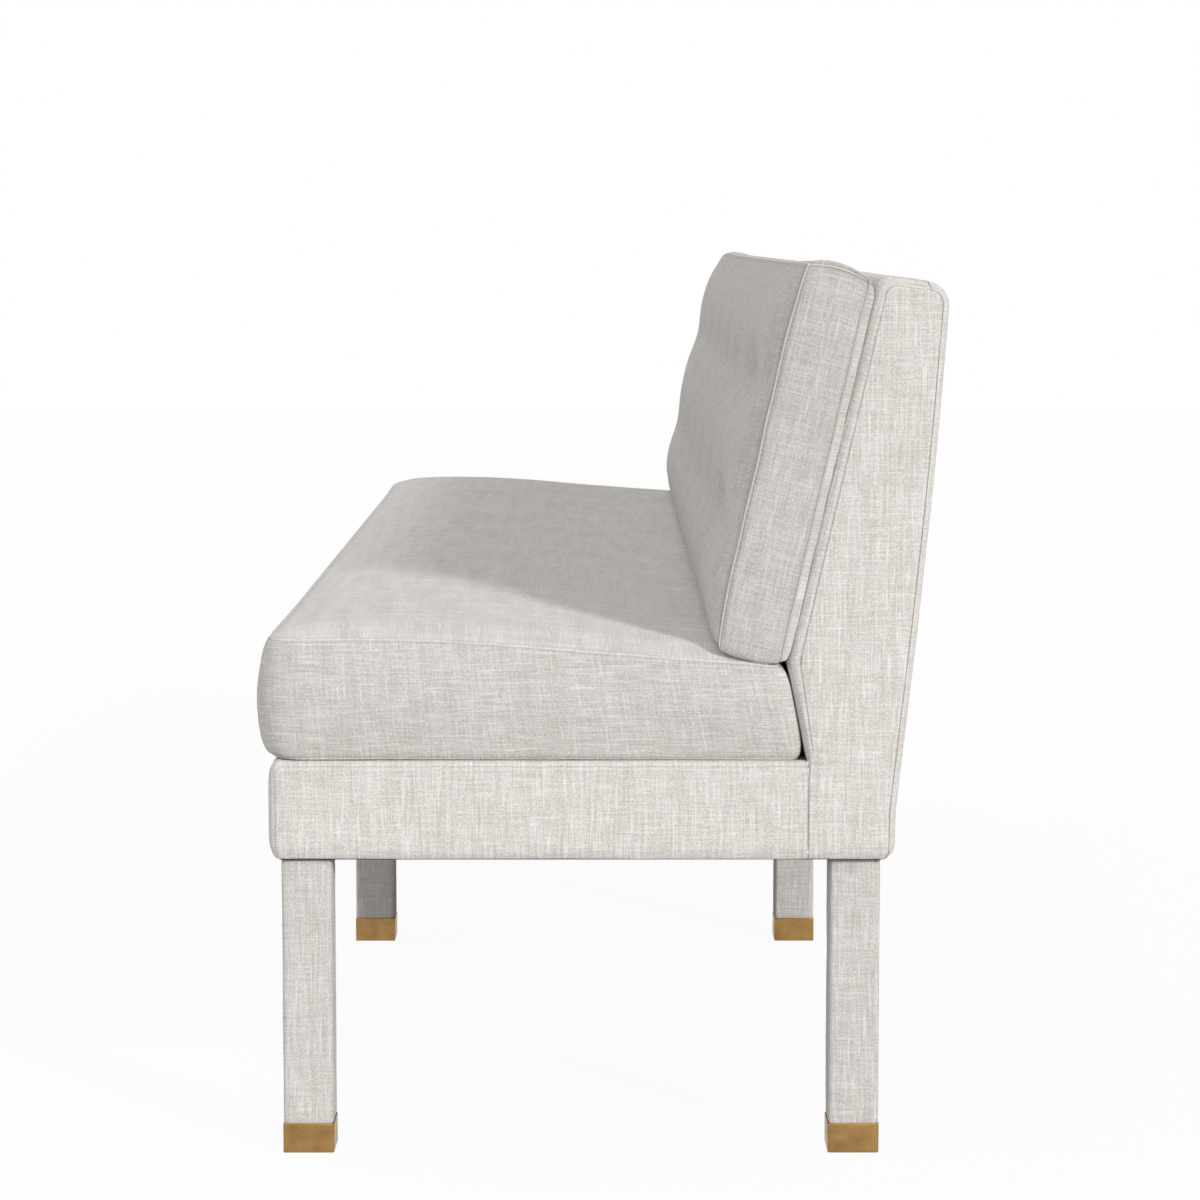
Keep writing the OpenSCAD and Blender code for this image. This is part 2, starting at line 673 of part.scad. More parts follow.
// Zip tape and coil on the floor of a groove in the side from a to b, and the slider that rides on it
coil_w = 4;
coil_h = 1.6;
tape_t = 0.8;
module on_groove(a, b, bulge) {
    p = (a + b) / 2 - (bulge - zip_groove_d) * left_of(unit(b - a));
    angle = atan2(b[1] - a[1], b[0] - a[0]);
    translate([0, p[0], p[1]]) rotate([angle, 0, 0]) children();
}

module zip_shape() {
    w = zip_groove_w - 2;
    box([-zip_x + 2, -w / 2, -tape_t], [zip_x - 2, w / 2, 0]);
    box([-zip_x + 4, -coil_w / 2, -tape_t - coil_h], [zip_x - 4, coil_w / 2, -tape_t]);
}

slider_gap = 0.3;
module slider_shape() {
    w = coil_w + 4;
    low = -tape_t - slider_gap;
    translate([zip_x - 6 - slider_l, 0, 0]) difference() {
        union() {
            box([0, -w / 2, low - coil_h - 1.6], [slider_l, w / 2, low]);
            box([-16, -2, low - coil_h - 2.4], [slider_l / 2, 2, low - coil_h - 1.4]);
        }
        box([-1, -coil_w / 2 - slider_gap, low - coil_h], [slider_l + 1, coil_w / 2 + slider_gap, 0]);
    }
}

module seat_zip() {
    color("dimgray") centred() on_groove(seat_corners[1], seat_corners[2], seat_rear_roll) zip_shape();
}

module seat_zip_slider() {
    color("silver") centred() on_groove(seat_corners[1], seat_corners[2], seat_rear_roll) slider_shape();
}

module back_zip() {
    color("dimgray") centred()
        on_groove(bolster_corners[3], bolster_corners[0], bolster_low_bulge) zip_shape();
}

module back_zip_slider() {
    color("silver") centred()
        on_groove(bolster_corners[3], bolster_corners[0], bolster_low_bulge) slider_shape();
}

front_rail();
rear_rail();
end_rail(1);  // end_rail_right
end_rail(-1);  // end_rail_left
cross_rail(half_l / 2, 0);  // cross_rail_right
cross_rail(0, block_w);  // cross_rail_middle
cross_rail(-half_l / 2, 0);  // cross_rail_left
deck_board();
leg_blocks();
block_screws();
hanger_bolts();
t_nuts();
glides();
for (i = [0 : 3])
    back_post(i);
back_top_rail();
back_low_rail();
back_board();
base_wadding();
base_cover();
deck_cover();
dust_cover();
dust_cover_staples();
inside_back_wadding();
inside_back_cover();
outside_back_wadding();
outside_back_cover();
end_wadding(1);  // end_wadding_right
end_wadding(-1);  // end_wadding_left
end_panel(1);  // end_panel_right
end_panel(-1);  // end_panel_left
seat_cushion_cover();
seat_cushion_foam();
seat_zip();
seat_zip_slider();
back_cushion_cover();
back_cushion_foam();
back_cushion_stitches();
back_zip();
back_zip_slider();
for (row = [0, 1], side = [0 : 2]) {
    name = LEG_NAMES[3 * row + side];
    leg_post(leg_xs[side], leg_ys[row]);
    leg_sleeve(leg_xs[side], leg_ys[row]);
    ferrule(leg_xs[side], leg_ys[row]);
}
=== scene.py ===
# %% [markdown]
# # An upholstered banquette
#
# This lesson dresses a CAD model of a dining banquette: a long bench on six cloth-covered legs with square
# brass ferrules, a loose box cushion to sit on and a loose tufted cushion that leans on the raked back.
# The CAD model is loaded as a fixed frame. Each soft piece is then worked out as a surface with numpy,
# put where its CAD solid stands, and given a material of shader nodes.

import math

import bpy
import numpy as np
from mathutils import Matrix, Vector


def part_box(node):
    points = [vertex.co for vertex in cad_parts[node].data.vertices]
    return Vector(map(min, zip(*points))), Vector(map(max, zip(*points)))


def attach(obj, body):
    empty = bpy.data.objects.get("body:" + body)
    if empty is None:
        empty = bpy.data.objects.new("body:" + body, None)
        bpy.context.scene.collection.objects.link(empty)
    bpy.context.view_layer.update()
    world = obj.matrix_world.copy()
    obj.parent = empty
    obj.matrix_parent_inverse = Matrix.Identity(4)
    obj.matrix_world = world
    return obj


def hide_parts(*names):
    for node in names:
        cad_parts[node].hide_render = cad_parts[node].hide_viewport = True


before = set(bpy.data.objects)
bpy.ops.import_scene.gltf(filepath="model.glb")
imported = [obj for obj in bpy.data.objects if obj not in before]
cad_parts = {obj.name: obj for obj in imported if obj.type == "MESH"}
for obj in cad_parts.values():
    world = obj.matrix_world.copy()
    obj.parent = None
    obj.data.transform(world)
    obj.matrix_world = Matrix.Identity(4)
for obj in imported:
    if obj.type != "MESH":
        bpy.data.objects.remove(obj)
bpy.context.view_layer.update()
SCENE = bpy.context.scene
SCENE.view_settings.view_transform = "Standard"

# %% [markdown]
# ## Camera
#
# The picture was taken almost square on to one end of the bench, from a little above, with a long lens.
# A camera looks along its own -Z, so a turn about X tips it up to the horizon and a turn about Z swings it
# to look along -X. There is no lens shift, which other views would keep.

# %% Camera
MM = 0.001
BASE_OVERHANG = 11.0
FEET_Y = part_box("base_cover")[0][1] / MM + BASE_OVERHANG
CAMERA_AT = (4.66258, (FEET_Y + 316.56) * MM, 0.91881)
PITCH_DOWN = 0.10084
YAW_TO_BACK = 0.00074
LENS_MM = 107.66

print("front feet stand at Y =", round(FEET_Y, 3), "mm in the frame")
camera_data = bpy.data.cameras.new("camera")
camera_data.sensor_width = 36
camera_data.lens = LENS_MM
camera = bpy.data.objects.new("camera", camera_data)
camera.location = CAMERA_AT
camera.rotation_euler = (math.pi / 2 - PITCH_DOWN, 0, math.pi / 2 - YAW_TO_BACK)
SCENE.collection.objects.link(camera)
SCENE.camera = camera
print("camera", CAMERA_AT, "lens", LENS_MM, "mm")

# %% [markdown]
# ## Colours and nodes
#
# Colours are written as hex values, as a paint chart gives them, and the shader wants linear light. One
# function turns the one into the other. A second adds a shader node, sets it and links it, and a few more
# stand for the steps that every material repeats.

# %% Helpers for materials
def linear(hex_colour):
    """sRGB hex to linear RGBA: c / 12.92 up to 0.04045, and above it ((c + 0.055) / 1.055) ** 2.4."""
    c = np.array([int(hex_colour[i:i + 2], 16) / 255 for i in (1, 3, 5)])
    return (*np.where(c <= 0.04045, c / 12.92, ((c + 0.055) / 1.055) ** 2.4), 1.0)


def fill(tree, node, inputs):
    """Fills each named input of a node with a value or a link."""
    for key, value in inputs.items():
        if isinstance(value, bpy.types.NodeSocket):
            tree.links.new(value, node.inputs[key])
        else:
            node.inputs[key].default_value = value


def add(tree, kind, inputs=None, **settings):
    """Adds a node, sets its properties and fills its inputs."""
    made = tree.nodes.new(kind)
    for key, value in settings.items():
        setattr(made, key, value)
    fill(tree, made, inputs or {})
    return made


def mix_colours(tree, share, a, b):
    """Colour a with a share of colour b."""
    return add(tree, "ShaderNodeMix", {"Factor": share, "A": a, "B": b}, data_type="RGBA").outputs["Result"]


def bumped(tree, height, strength, metres):
    """A normal tilted by a height from 0 to 1, which stands for so many metres."""
    return add(tree, "ShaderNodeBump", {"Height": height, "Strength": strength,
                                        "Distance": metres}).outputs["Normal"]


def new_material(name):
    """A material with an empty tree but for its output and Principled shader; returns all three."""
    material = bpy.data.materials.new(name)
    material.use_nodes = True
    tree = material.node_tree
    tree.nodes.clear()
    shader = add(tree, "ShaderNodeBsdfPrincipled")
    add(tree, "ShaderNodeOutputMaterial", {"Surface": shader.outputs["BSDF"]})
    return material, tree, shader


# %% [markdown]
# ## Slub linen
#
# The cloth is a linen-look weave in a light warm grey. Its yarns are slubby: they swell and thin along
# their length, so the cloth shows short light and dark streaks both ways. A photo texture could give that,
# but streaks stretched from noise stay sharp at any distance and follow each panel. They are read from
# the piece's UV map, which is in metres of cloth: U runs along the panel and V up it.
# The yarns are 1.4 mm apart, a little coarser than real ones, so that they still show in the picture. A
# grain of 1.1 mm lies over them, and clouds of 11 mm make one part of a panel lighter than the next.

# %% Material: slub linen
# LINEN_LIGHT is the light yarn's colour and also a painted highlight at seams; SEAM_SHADOW is painted shade
# in seams and folds
LINEN, LINEN_LIGHT, LINEN_SHADOW, SEAM_SHADOW = "#E4E0DB", "#F6F4F0", "#B9B3AD", "#8F8881"
# Length and width of the streaks in mm
YARN_MM, SLUB_MM = 1.4, 44.0
GRAIN, THICK_YARN, CLOUD = (2.6, 1.1), (30, 1.8), (90, 11)
DRIFT_WARP, DRIFT_WEFT = (150, 13), (150, 17)
GATHER_MM, GATHER_FADE_MM, GATHER_REACH_MM = 2.6, 14, 11.0


def slub_linen(name, along=0.5, tone_and_shade=1.0, band=1.0, seam="groove", line=0.2, hollow_mm=3.0, drift=0.0):
    """Woven linen: along is the share of the streaks that runs along U. tone darkens the cloth: partly the
    cloth's own colour, partly painted shade. band darkens the bands once more, painted shade that keeps a
    cushion's sides darker than its top. seam says whether a seam stands up as a ridge, with a painted
    highlight on its lit edge and painted shade beside it, or lies in the cloth as a groove, with painted
    shade on its line and a painted highlight beside it; line says how strong that painted highlight is.
    hollow_mm is how far the painted shade beside a ridge reaches over a band. drift turns that share of a
    panel's fine grain into broad, faint streaks."""
    material, tree, shader = new_material(name)
    uv = add(tree, "ShaderNodeUVMap", uv_map="cloth").outputs["UV"]
    shadow, base, light = (tuple(tone_and_shade * c for c in linear(h)[:3]) + (1.0,)
                           for h in (LINEN_SHADOW, LINEN, LINEN_LIGHT))
    ridged = seam == "ridge"

    def streaks(size, along_u, shift, detail=1.0):
        """Noise from 0 to 1, drawn out along one way of the cloth; shift moves it off the other streaks."""
        long_scale, short_scale = 1000 / size[0], 1000 / size[1]
        scale = (long_scale, short_scale, 1) if along_u else (short_scale, long_scale, 1)
        vector = add(tree, "ShaderNodeMapping", {"Vector": uv, "Location": (shift, shift * 0.7, shift),
                                                 "Scale": scale}).outputs["Vector"]
        return add(tree, "ShaderNodeTexNoise", {"Vector": vector, "Scale": 1.0, "Detail": detail,
                                                "Roughness": 0.5}).outputs["Fac"]

    def maths(operation, a, b=0.0):
        """One arithmetic step."""
        return add(tree, "ShaderNodeMath", {0: a, 1: b}, operation=operation).outputs[0]

    def plus(a, b):
        """The sum of two values."""
        return maths("ADD", a, b)

    def times(a, b):
        """The product of two values."""
        return maths("MULTIPLY", a, b)

    def ramp(value, low, high, to_low=0.0, to_high=1.0):
        """A smooth step of value from low to high."""
        return add(tree, "ShaderNodeMapRange", {"Value": value, "From Min": low, "From Max": high,
                                                "To Min": to_low, "To Max": to_high},
                   interpolation_type="SMOOTHSTEP").outputs["Result"]

    def by_share(weft, warp):
        """Streaks of both ways in the cloth's own proportion."""
        return plus(times(weft, along), times(warp, 1 - along))

    yarn = by_share(streaks((SLUB_MM, YARN_MM), True, 3.1), streaks((SLUB_MM, YARN_MM), False, 7.7))
    slub = by_share(ramp(streaks(THICK_YARN, True, 11.9, 0.0), 0.58, 0.76),
                    ramp(streaks(THICK_YARN, False, 17.3, 0.0), 0.58, 0.76))
    fine = times(streaks(GRAIN, True, 1.3), streaks(GRAIN, False, 5.9))
    cloudy = plus(streaks(CLOUD, True, 23.0), streaks(CLOUD, False, 31.0))
    # A cushion writes its distance to a seam negative on a panel and positive on a band, so that each side
    # has its own
    # look: its own grain, and the painted shade that lies on a band
    signed = add(tree, "ShaderNodeAttribute", attribute_name="seam_mm").outputs["Fac"]
    total = plus(times(plus(yarn, -0.5), 0.72), plus(fine, -0.25))
    if drift:
        broad = plus(streaks(DRIFT_WARP, False, 41.0), streaks(DRIFT_WEFT, True, 47.0))
        total = times(total, ramp(signed, -0.2, 0.2, 1 - 0.9 * drift, 1.0))
        total = plus(total, times(plus(broad, -1.0), ramp(signed, -0.2, 0.2, 0.28 * drift, 0.0)))
    total = plus(total, times(plus(cloudy, -1.0), 0.14))
    body = mix_colours(tree, ramp(total, -0.3, 0.3), shadow, base)
    cloth = mix_colours(tree, times(slub, 0.6), body, light)

    # Painted seam marks: a groove gets painted shade on its line and a painted highlight on either side, a
    # ridge a painted highlight on its lit edge and painted shade beside it
    distance = maths("ABSOLUTE", signed)
    # Painted shade beside a ridge lies only on the band
    beside = signed if ridged else distance
    line_at = maths("ABSOLUTE", plus(signed, -1.3)) if ridged else distance
    on_line = ramp(line_at, 0.5, 1.1, 1.0, 0.0)
    narrow = times(ramp(beside, 1.4, 2.4), ramp(beside, 2.4, 4.2, 1.0, 0.0))
    hollow = times(ramp(signed, 0.9, 2.0), ramp(signed, 2.0, hollow_mm, 1.0, 0.0))
    lighter, darker = (on_line, narrow) if ridged else (narrow, on_line)

    # Gathers: the sewing draws the cloth up in folds, which run out from the seam. They are a bump, and their
    # folds also get painted shade
    run = add(tree, "ShaderNodeAttribute", attribute_name="along_mm").outputs["Fac"]
    across = add(tree, "ShaderNodeCombineXYZ", {"X": maths("DIVIDE", run, GATHER_MM),
                                                "Y": maths("DIVIDE", distance, GATHER_FADE_MM)})
    folds = add(tree, "ShaderNodeTexNoise", {"Vector": across.outputs["Vector"], "Scale": 1.0, "Detail": 1.0})
    gathers = times(ramp(folds.outputs["Fac"], 0.35, 0.7), ramp(distance, 1.0, GATHER_REACH_MM, 1.0, 0.0))

    # Painted shade toward SEAM_SHADOW in and beside the seams and in the folds, then a painted highlight
    # toward LINEN_LIGHT
    depth = plus(times(darker, 0.3 if ridged else 0.2),
                 plus(times(hollow, 0.3 if hollow_mm > 4 else 0.0), times(gathers, 0.14)))
    shaded = mix_colours(tree, depth, cloth, linear(SEAM_SHADOW))
    finished = mix_colours(tree, times(lighter, line), shaded, linear(LINEN_LIGHT))
    # band: painted shade that keeps a cushion's boxing darker than its lit top
    if band != 1.0:
        painted_band_shade = ramp(signed, -0.2, 0.2, 1.0, band)
        finished = add(tree, "ShaderNodeVectorMath", {"Vector": finished, "Scale": painted_band_shade},
                       operation="SCALE").outputs["Vector"]
    height = plus(plus(times(yarn, 0.6), times(slub, 0.5)), plus(times(fine, 0.7), times(gathers, -1.2)))
    fill(tree, shader, {"Base Color": finished, "Normal": bumped(tree, height, 0.5, 0.0006),
                        "Roughness": 0.92, "Specular IOR Level": 0.25, "Sheen Weight": 0.12,
                        "Sheen Roughness": 0.6})
    return material


# The pieces are cut from the bolt in different ways, which gives each a little of its own colour. The factors
# are also painted shade for pieces and parts that lie more in shade: the cushions' bands against their tops,
# and the inside cover where it turns into shade
seat_linen = slub_linen("slub_linen_of_seat_cushion", along=0.6, tone_and_shade=0.95, band=0.92, seam="ridge",
                        line=0.3, drift=0.8)
back_linen = slub_linen("slub_linen_of_back_cushion", along=0.45, tone_and_shade=0.93, band=0.87, seam="ridge",
                        line=0.7, hollow_mm=9.0, drift=0.3)
frame_linen = slub_linen("slub_linen_of_base_and_back", along=0.42, tone_and_shade=0.98)
inside_linen = slub_linen("slub_linen_of_inside_back", along=0.42, tone_and_shade=0.95)
leg_linen = slub_linen("slub_linen_of_legs", along=0.4, tone_and_shade=0.89)
print("linen: yarn", YARN_MM, "mm, slubs", SLUB_MM, "mm long")

# %% [markdown]
# ## Aged brass
#
# The ferrules are square caps of brass with a satin, slightly tarnished finish: warm, brown in the
# corners, with fine draw marks up the sides. Brass is a metal, so all its colour is in the reflection.
# Noise stretched up Z gives the draw marks, and a second, broader noise the tarnish.

# %% Material: aged brass
def object_noise(tree, scale, detail=2.0):
    """Noise on Object coordinates, with a scale for each axis in repeats per metre."""
    place_on = add(tree, "ShaderNodeTexCoord").outputs["Object"]
    vector = add(tree, "ShaderNodeMapping", {"Vector": place_on, "Scale": scale}).outputs["Vector"]
    return add(tree, "ShaderNodeTexNoise", {"Vector": vector, "Scale": 1.0, "Detail": detail}).outputs["Fac"]


def aged_brass():
    """Satin brass: draw marks 0.6 mm apart, tarnish in patches of some 25 mm."""
    material, tree, shader = new_material("aged_satin_brass")
    marks = object_noise(tree, (1600, 1600, 25))
    tarnish = object_noise(tree, (40, 40, 60), 4.0)
    rough = add(tree, "ShaderNodeMapRange", {"Value": tarnish, "To Min": 0.42, "To Max": 0.3})
    fill(tree, shader, {"Base Color": mix_colours(tree, tarnish, linear("#70512D"), linear("#BF9862")),
                        "Roughness": rough.outputs["Result"], "Normal": bumped(tree, marks, 0.35, 0.0001),
                        "Metallic": 1.0})
    return material


brass = aged_brass()

# %% [markdown]
# ## The materials inside
#
# Timber, plywood, wadding, foam, the black cloth underneath, the zips and the fixings hardly show, but the
# bench opens up when its cushions come off, and each piece has its own finish. They all follow one plan:
# two colours mixed by a noise on Object coordinates, and the same noise as a bump. Only the sizes differ.

# %% Materials: timber, padding, metal and plastic
def mottled(name, dark, light, scale, roughness, bump=0.0, metallic=0.0, ior=1.5, detail=3.0):
    """Two colours mixed by stretched noise, with a bump in metres from the same noise."""
    material, tree, shader = new_material(name)
    noise = object_noise(tree, scale, detail)
    fill(tree, shader, {"Base Color": mix_colours(tree, noise, linear(dark), linear(light)),
                        "Roughness": roughness, "Metallic": metallic})
    if bump:
        fill(tree, shader, {"Normal": bumped(tree, noise, 0.6, bump)})
    if not metallic:
        fill(tree, shader, {"IOR": ior})
    return material


# Beech rails: grain lines some 2 mm apart along X, planed and left bare
beech = mottled("planed_beech", "#B98A5A", "#DDB98C", (6, 420, 420), 0.6, 0.0002)
# Birch plywood: broad rotary-cut figure on the face, 70 mm across
plywood = mottled("birch_plywood", "#C8A877", "#E2CBA0", (5, 60, 300), 0.65, 0.0001)
# Polyester wadding: matted fibre in tufts of about 6 mm
wadding = mottled("polyester_wadding", "#E4E4E2", "#F6F6F4", (160, 160, 160), 0.95, 0.0012)
# Polyurethane foam: open cells about 1.5 mm across
foam = mottled("polyurethane_foam", "#D9CFA6", "#EDE6C8", (650, 650, 650), 0.9, 0.0006)
# Spunbonded dust cloth: felted black fibre, 2 mm pattern
dust_cloth = mottled("spunbonded_dust_cloth", "#1E1E1F", "#2F2F31", (500, 500, 500), 0.85, 0.0002)
# Zip: woven polyester tape and nylon coil, with teeth every 2.4 mm along X
zip_tape = mottled("nylon_coil_zip", "#8C857E", "#B4ADA6", (410, 60, 60), 0.55, 0.0006)
# Zinc-plated steel: a faint blue spangle about 4 mm across
zinc = mottled("zinc_plated_steel", "#A9AEB3", "#D2D5D8", (250, 250, 250), 0.32, 0.0, 1.0)
# Nickel-plated die cast of the zip sliders
nickel = mottled("nickel_plated_zinc", "#9C9A95", "#C9C7C2", (300, 300, 300), 0.25, 0.0, 1.0)
# Moulded nylon glides, scuffed at 3 mm
nylon = mottled("moulded_nylon", "#2B2B2C", "#48484A", (330, 330, 330), 0.45, 0.0001, ior=1.53)
# Waxed tufting twine, two plies twisted every 2.5 mm
twine = mottled("waxed_tufting_twine", "#938D86", "#ABA59E", (400, 400, 400), 0.8, 0.0003)

CAD_FINISHES = {
    beech: ("front_rail", "rear_rail", "end_rail_", "cross_rail_", "leg_blocks", "leg_post_", "back_post_",
            "back_top_rail", "back_low_rail"),
    plywood: ("deck_board", "back_board"),
    wadding: ("base_wadding", "inside_back_wadding", "outside_back_wadding", "end_wadding_"),
    foam: ("seat_cushion_foam", "back_cushion_foam"),
    dust_cloth: ("dust_cover",),
    zip_tape: ("seat_zip", "back_zip"),
    zinc: ("block_screws", "hanger_bolts", "t_nuts", "dust_cover_staples"),
    nickel: ("seat_zip_slider", "back_zip_slider"),
    nylon: ("glides",),
}
finished_nodes = 0
for material, names in CAD_FINISHES.items():
    for node_name, node_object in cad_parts.items():
        exact = node_name in names
        family = any(name.endswith("_") and node_name.startswith(name) for name in names)
        if exact or family:
            node_object.data.materials.clear()
            node_object.data.materials.append(material)
            finished_nodes += 1
print(finished_nodes, "CAD nodes have their finish")

# %% [markdown]
# ## Meshes from grids of points
#
# Every soft piece here is a grid of points, worked out as whole arrays, whose neighbours are joined by
# four-sided faces. The bench is measured in millimetres with its front feet at y = 0. Only the last step,
# `make_mesh`, moves it into the frame and turns it into metres.

# %% Helpers for meshes
def grid_faces(rows, cols, wrap_rows=False, wrap_cols=False):
    """Quads of a grid numbered row by row; a wrapped grid joins its last row or column to the first."""
    i = np.arange(rows if wrap_rows else rows - 1)[:, None]
    j = np.arange(cols if wrap_cols else cols - 1)[None, :]
    i_next, j_next = (i + 1) % rows, (j + 1) % cols
    corners = [i * cols + j, i * cols + j_next, i_next * cols + j_next, i_next * cols + j]
    return np.stack(np.broadcast_arrays(*corners), -1).reshape(-1, 4)


def grid_corners(values):
    """The four corner values of each quad, for a grid of values with a last dimension such as UV."""
    quads = [values[:-1, :-1], values[:-1, 1:], values[1:, 1:], values[1:, :-1]]
    return np.stack(quads, 2).reshape(-1, 4, values.shape[-1])


def make_mesh(name, points, faces, corner_uv, seam_mm, material, along_mm=0.0):
    """An object from points in bench millimetres, quads, each quad's four UVs, and for each point its
    distance to the nearest seam and its place along it, in millimetres."""
    mesh = bpy.data.meshes.new(name)
    placed = (np.asarray(points) + [0, FEET_Y, 0]) * MM
    mesh.from_pydata(placed.tolist(), [], faces.tolist())
    layer = mesh.uv_layers.new(name="cloth")
    layer.data.foreach_set("uv", (corner_uv * MM).astype(np.float32).ravel())
    for key, values in (("seam_mm", seam_mm), ("along_mm", along_mm)):
        attribute = mesh.attributes.new(key, "FLOAT", "POINT")
        attribute.data.foreach_set("value", np.broadcast_to(values, len(placed)).astype(np.float32))
    mesh.polygons.foreach_set("use_smooth", np.ones(len(faces), bool))
    mesh.materials.append(material)
    mesh.validate()
    mesh.update()
    made = bpy.data.objects.new(name, mesh)
    SCENE.collection.objects.link(made)
    return made


def steps(length, near, cell):
    """Positions from 0 to length: the near distances from both ends, then even cells of about one size."""
    near = np.asarray(near, float)
    inner = length - 2 * near[-1]
    middle = near[-1] + np.linspace(0, inner, max(2, round(inner / cell) + 1))
    return np.concatenate([near[:-1], middle, length - near[-2::-1]])


def ridge(d, height):
    """Height of a sewn seam at d mm from its line: a low ridge on the line and a hollow on either side."""
    return height * np.exp(-(d / 0.9) ** 2) - 0.6 * np.exp(-((d - 2.4) / 1.3) ** 2)


def roll(h, r, height=None):
    """How far an edge rounded over a height has come in at h: r * (1 - sqrt(1 - (1 - h / height)^2))."""
    rest = np.clip(1 - h / (height or r), 0, 1)
    return r * (1 - np.sqrt(1 - rest ** 2))


def fullness(t, p):
    """A filled side's share of its bulge at t of its width: sqrt(1 - |2t - 1|^p), 0 at both seams."""
    return np.sqrt(np.clip(1 - np.abs(2 * t - 1) ** p, 0, 1))


def waves(x, seed, longest, count=5):
    """A smooth random line: a sum of sines from the longest wave down, each weaker, scaled to about 1."""
    rng = np.random.default_rng(seed)
    total = 0
    for k in range(count):
        total = total + np.sin(2 * np.pi * (x * (1 + 0.8 * k) / longest + rng.random())) / (1 + k)
    return total / 1.6


def thicken(obj, mm):
    """Gives a sheet the thickness of its cloth, inwards."""
    wall = obj.modifiers.new("cloth_thickness", "SOLIDIFY")
    wall.thickness, wall.offset = mm * MM, -1


NEAR_SEAM = (0, 1.2, 2.4, 4.0, 7.0, 12.0, 19.0)
# The distance written where no seam is near
NO_SEAM = 20.0
print("rows stand", NEAR_SEAM, "mm from a seam")

# %% [markdown]
# ## The boxed pad
#
# A box cushion is sewn from a top panel, a bottom panel and a band, the boxing, that runs round between
# them. Primitives give no seams, and a sculpted block gives no even weave, so the cushion is built as it is
# sewn: two grids of equal size and a band whose first and last rows are their borders. The three share
# those vertices, so the pad is closed.

# %% Helper: two panels joined by a band
def border(rows, cols):
    """Indices once round a grid: along row 0, up the last column, back along the last row, down column 0."""
    g = np.arange(rows * cols).reshape(rows, cols)
    return np.concatenate([g[0, :-1], g[:-1, -1], g[-1, :0:-1], g[:0:-1, 0]])


def at_border(grid):
    """The points of a grid once round its border."""
    return grid.reshape(-1, grid.shape[-1])[border(*grid.shape[:2])]


def whole_band(low, top, band):
    """The band's inner rows with the borders of both panels as its first and last row."""
    return np.concatenate([at_border(low)[None], band, at_border(top)[None]])


def boxed(low, top, band):
    """Points and quads of a closed pad: grids low and top, (rows, cols, 3), and the band's inner rows."""
    rows, cols = top.shape[:2]
    edge = border(rows, cols)
    points = np.concatenate([top.reshape(-1, 3), low.reshape(-1, 3), band.reshape(-1, 3)])
    inner = 2 * rows * cols + np.arange(band.shape[0] * len(edge)).reshape(band.shape[0], -1)
    ladder = np.vstack([rows * cols + edge, inner, edge])
    panel = grid_faces(rows, cols)
    ring = grid_faces(len(ladder), len(edge), wrap_cols=True)
    faces = np.concatenate([panel, rows * cols + panel[:, ::-1], ladder.ravel()[ring]])
    return points, faces


def boxed_uv(low_uv, top_uv, band_uv):
    """Corner UVs in the order of boxed's faces; the band brings one column more, to close it."""
    return np.concatenate([grid_corners(top_uv), grid_corners(low_uv)[:, ::-1], grid_corners(band_uv)])


def length_along(points):
    """Distance run along each row of points, from its start, with the closing step as one column more."""
    closed = np.concatenate([points, points[:, :1]], 1)
    run = np.linalg.norm(np.diff(closed, axis=1), axis=2).cumsum(1)
    return np.concatenate([np.zeros((len(points), 1)), run], 1)


def outward(points, faces):
    """Unit normal at each point: the sum of the crossed diagonals of the quads round it."""
    a, b, c, d = (points[faces[:, k]] for k in range(4))
    cross = np.cross(c - a, d - b)
    total = np.zeros_like(points)
    for k in range(4):
        np.add.at(total, faces[:, k], cross)
    return total / np.maximum(np.linalg.norm(total, axis=1, keepdims=True), 1e-9)


# %% [markdown]
# ## Seat cushion
#
# The seat cushion is 2264 mm long, thick at the front and thinner at the rear, where it tucks in under the
# back cushion. Its top is crowned, highest a third of the way back. The front boxing bows out the most.
# Its upright corners are soft, without a seam, and the boxing rolls under at the bottom. The zip sits in a
# groove along the rear boxing. A height field cannot make the overhanging sides, so top, bottom and band are
# three functions of their place on the pattern.

# %% Seat cushion: the surface
HALF_L = 1132.0
FOOT_Y = 525.0
BASE_FOOT, BASE_LOW, BASE_TOP, BASE_ROLL_H = 300.0, 301.6, 400.0, 18.0
SEAT_Z = 400.4
SEAT_SEAM_FRONT, SEAT_SEAM_REAR, SEAT_SEAM_X = -9.0, 493.7, 1128.0
SEAT_FRONT_T, SEAT_REAR_T = 121.0, 95.5
SEAT_BAND_MM = 115
RISE_AT_ENDS, RISE_MORE, RISE_REACH = 8.5, 4.0, 40
REAR_ROLL = 1.6
RIM_DROP, RIM_REACH = 4, 8
END_DROP, END_REACH = 4.5, 40
# For the front, the rear and the ends: how far the lower edge stands out past the upper seam, the bulge
# past the line between them, and how flat the lower and the upper half are
SEAT_FRONT = (-6.5, 20.0, 5.0, 1.05)
SEAT_REAR = (19.7, 11.6, 5.0, 5.0)
SEAT_END = (-5.0, 7.5, 2.6, 3.0)
SEAT_CORNERS = (26.0, 6.0)
ZIP_HALF = 1072.0
GROOVE_SHARE, GROOVE_DEPTH = 0.064, 6.5
BACK_FACE = 0.21
REST_GAP = 0.4


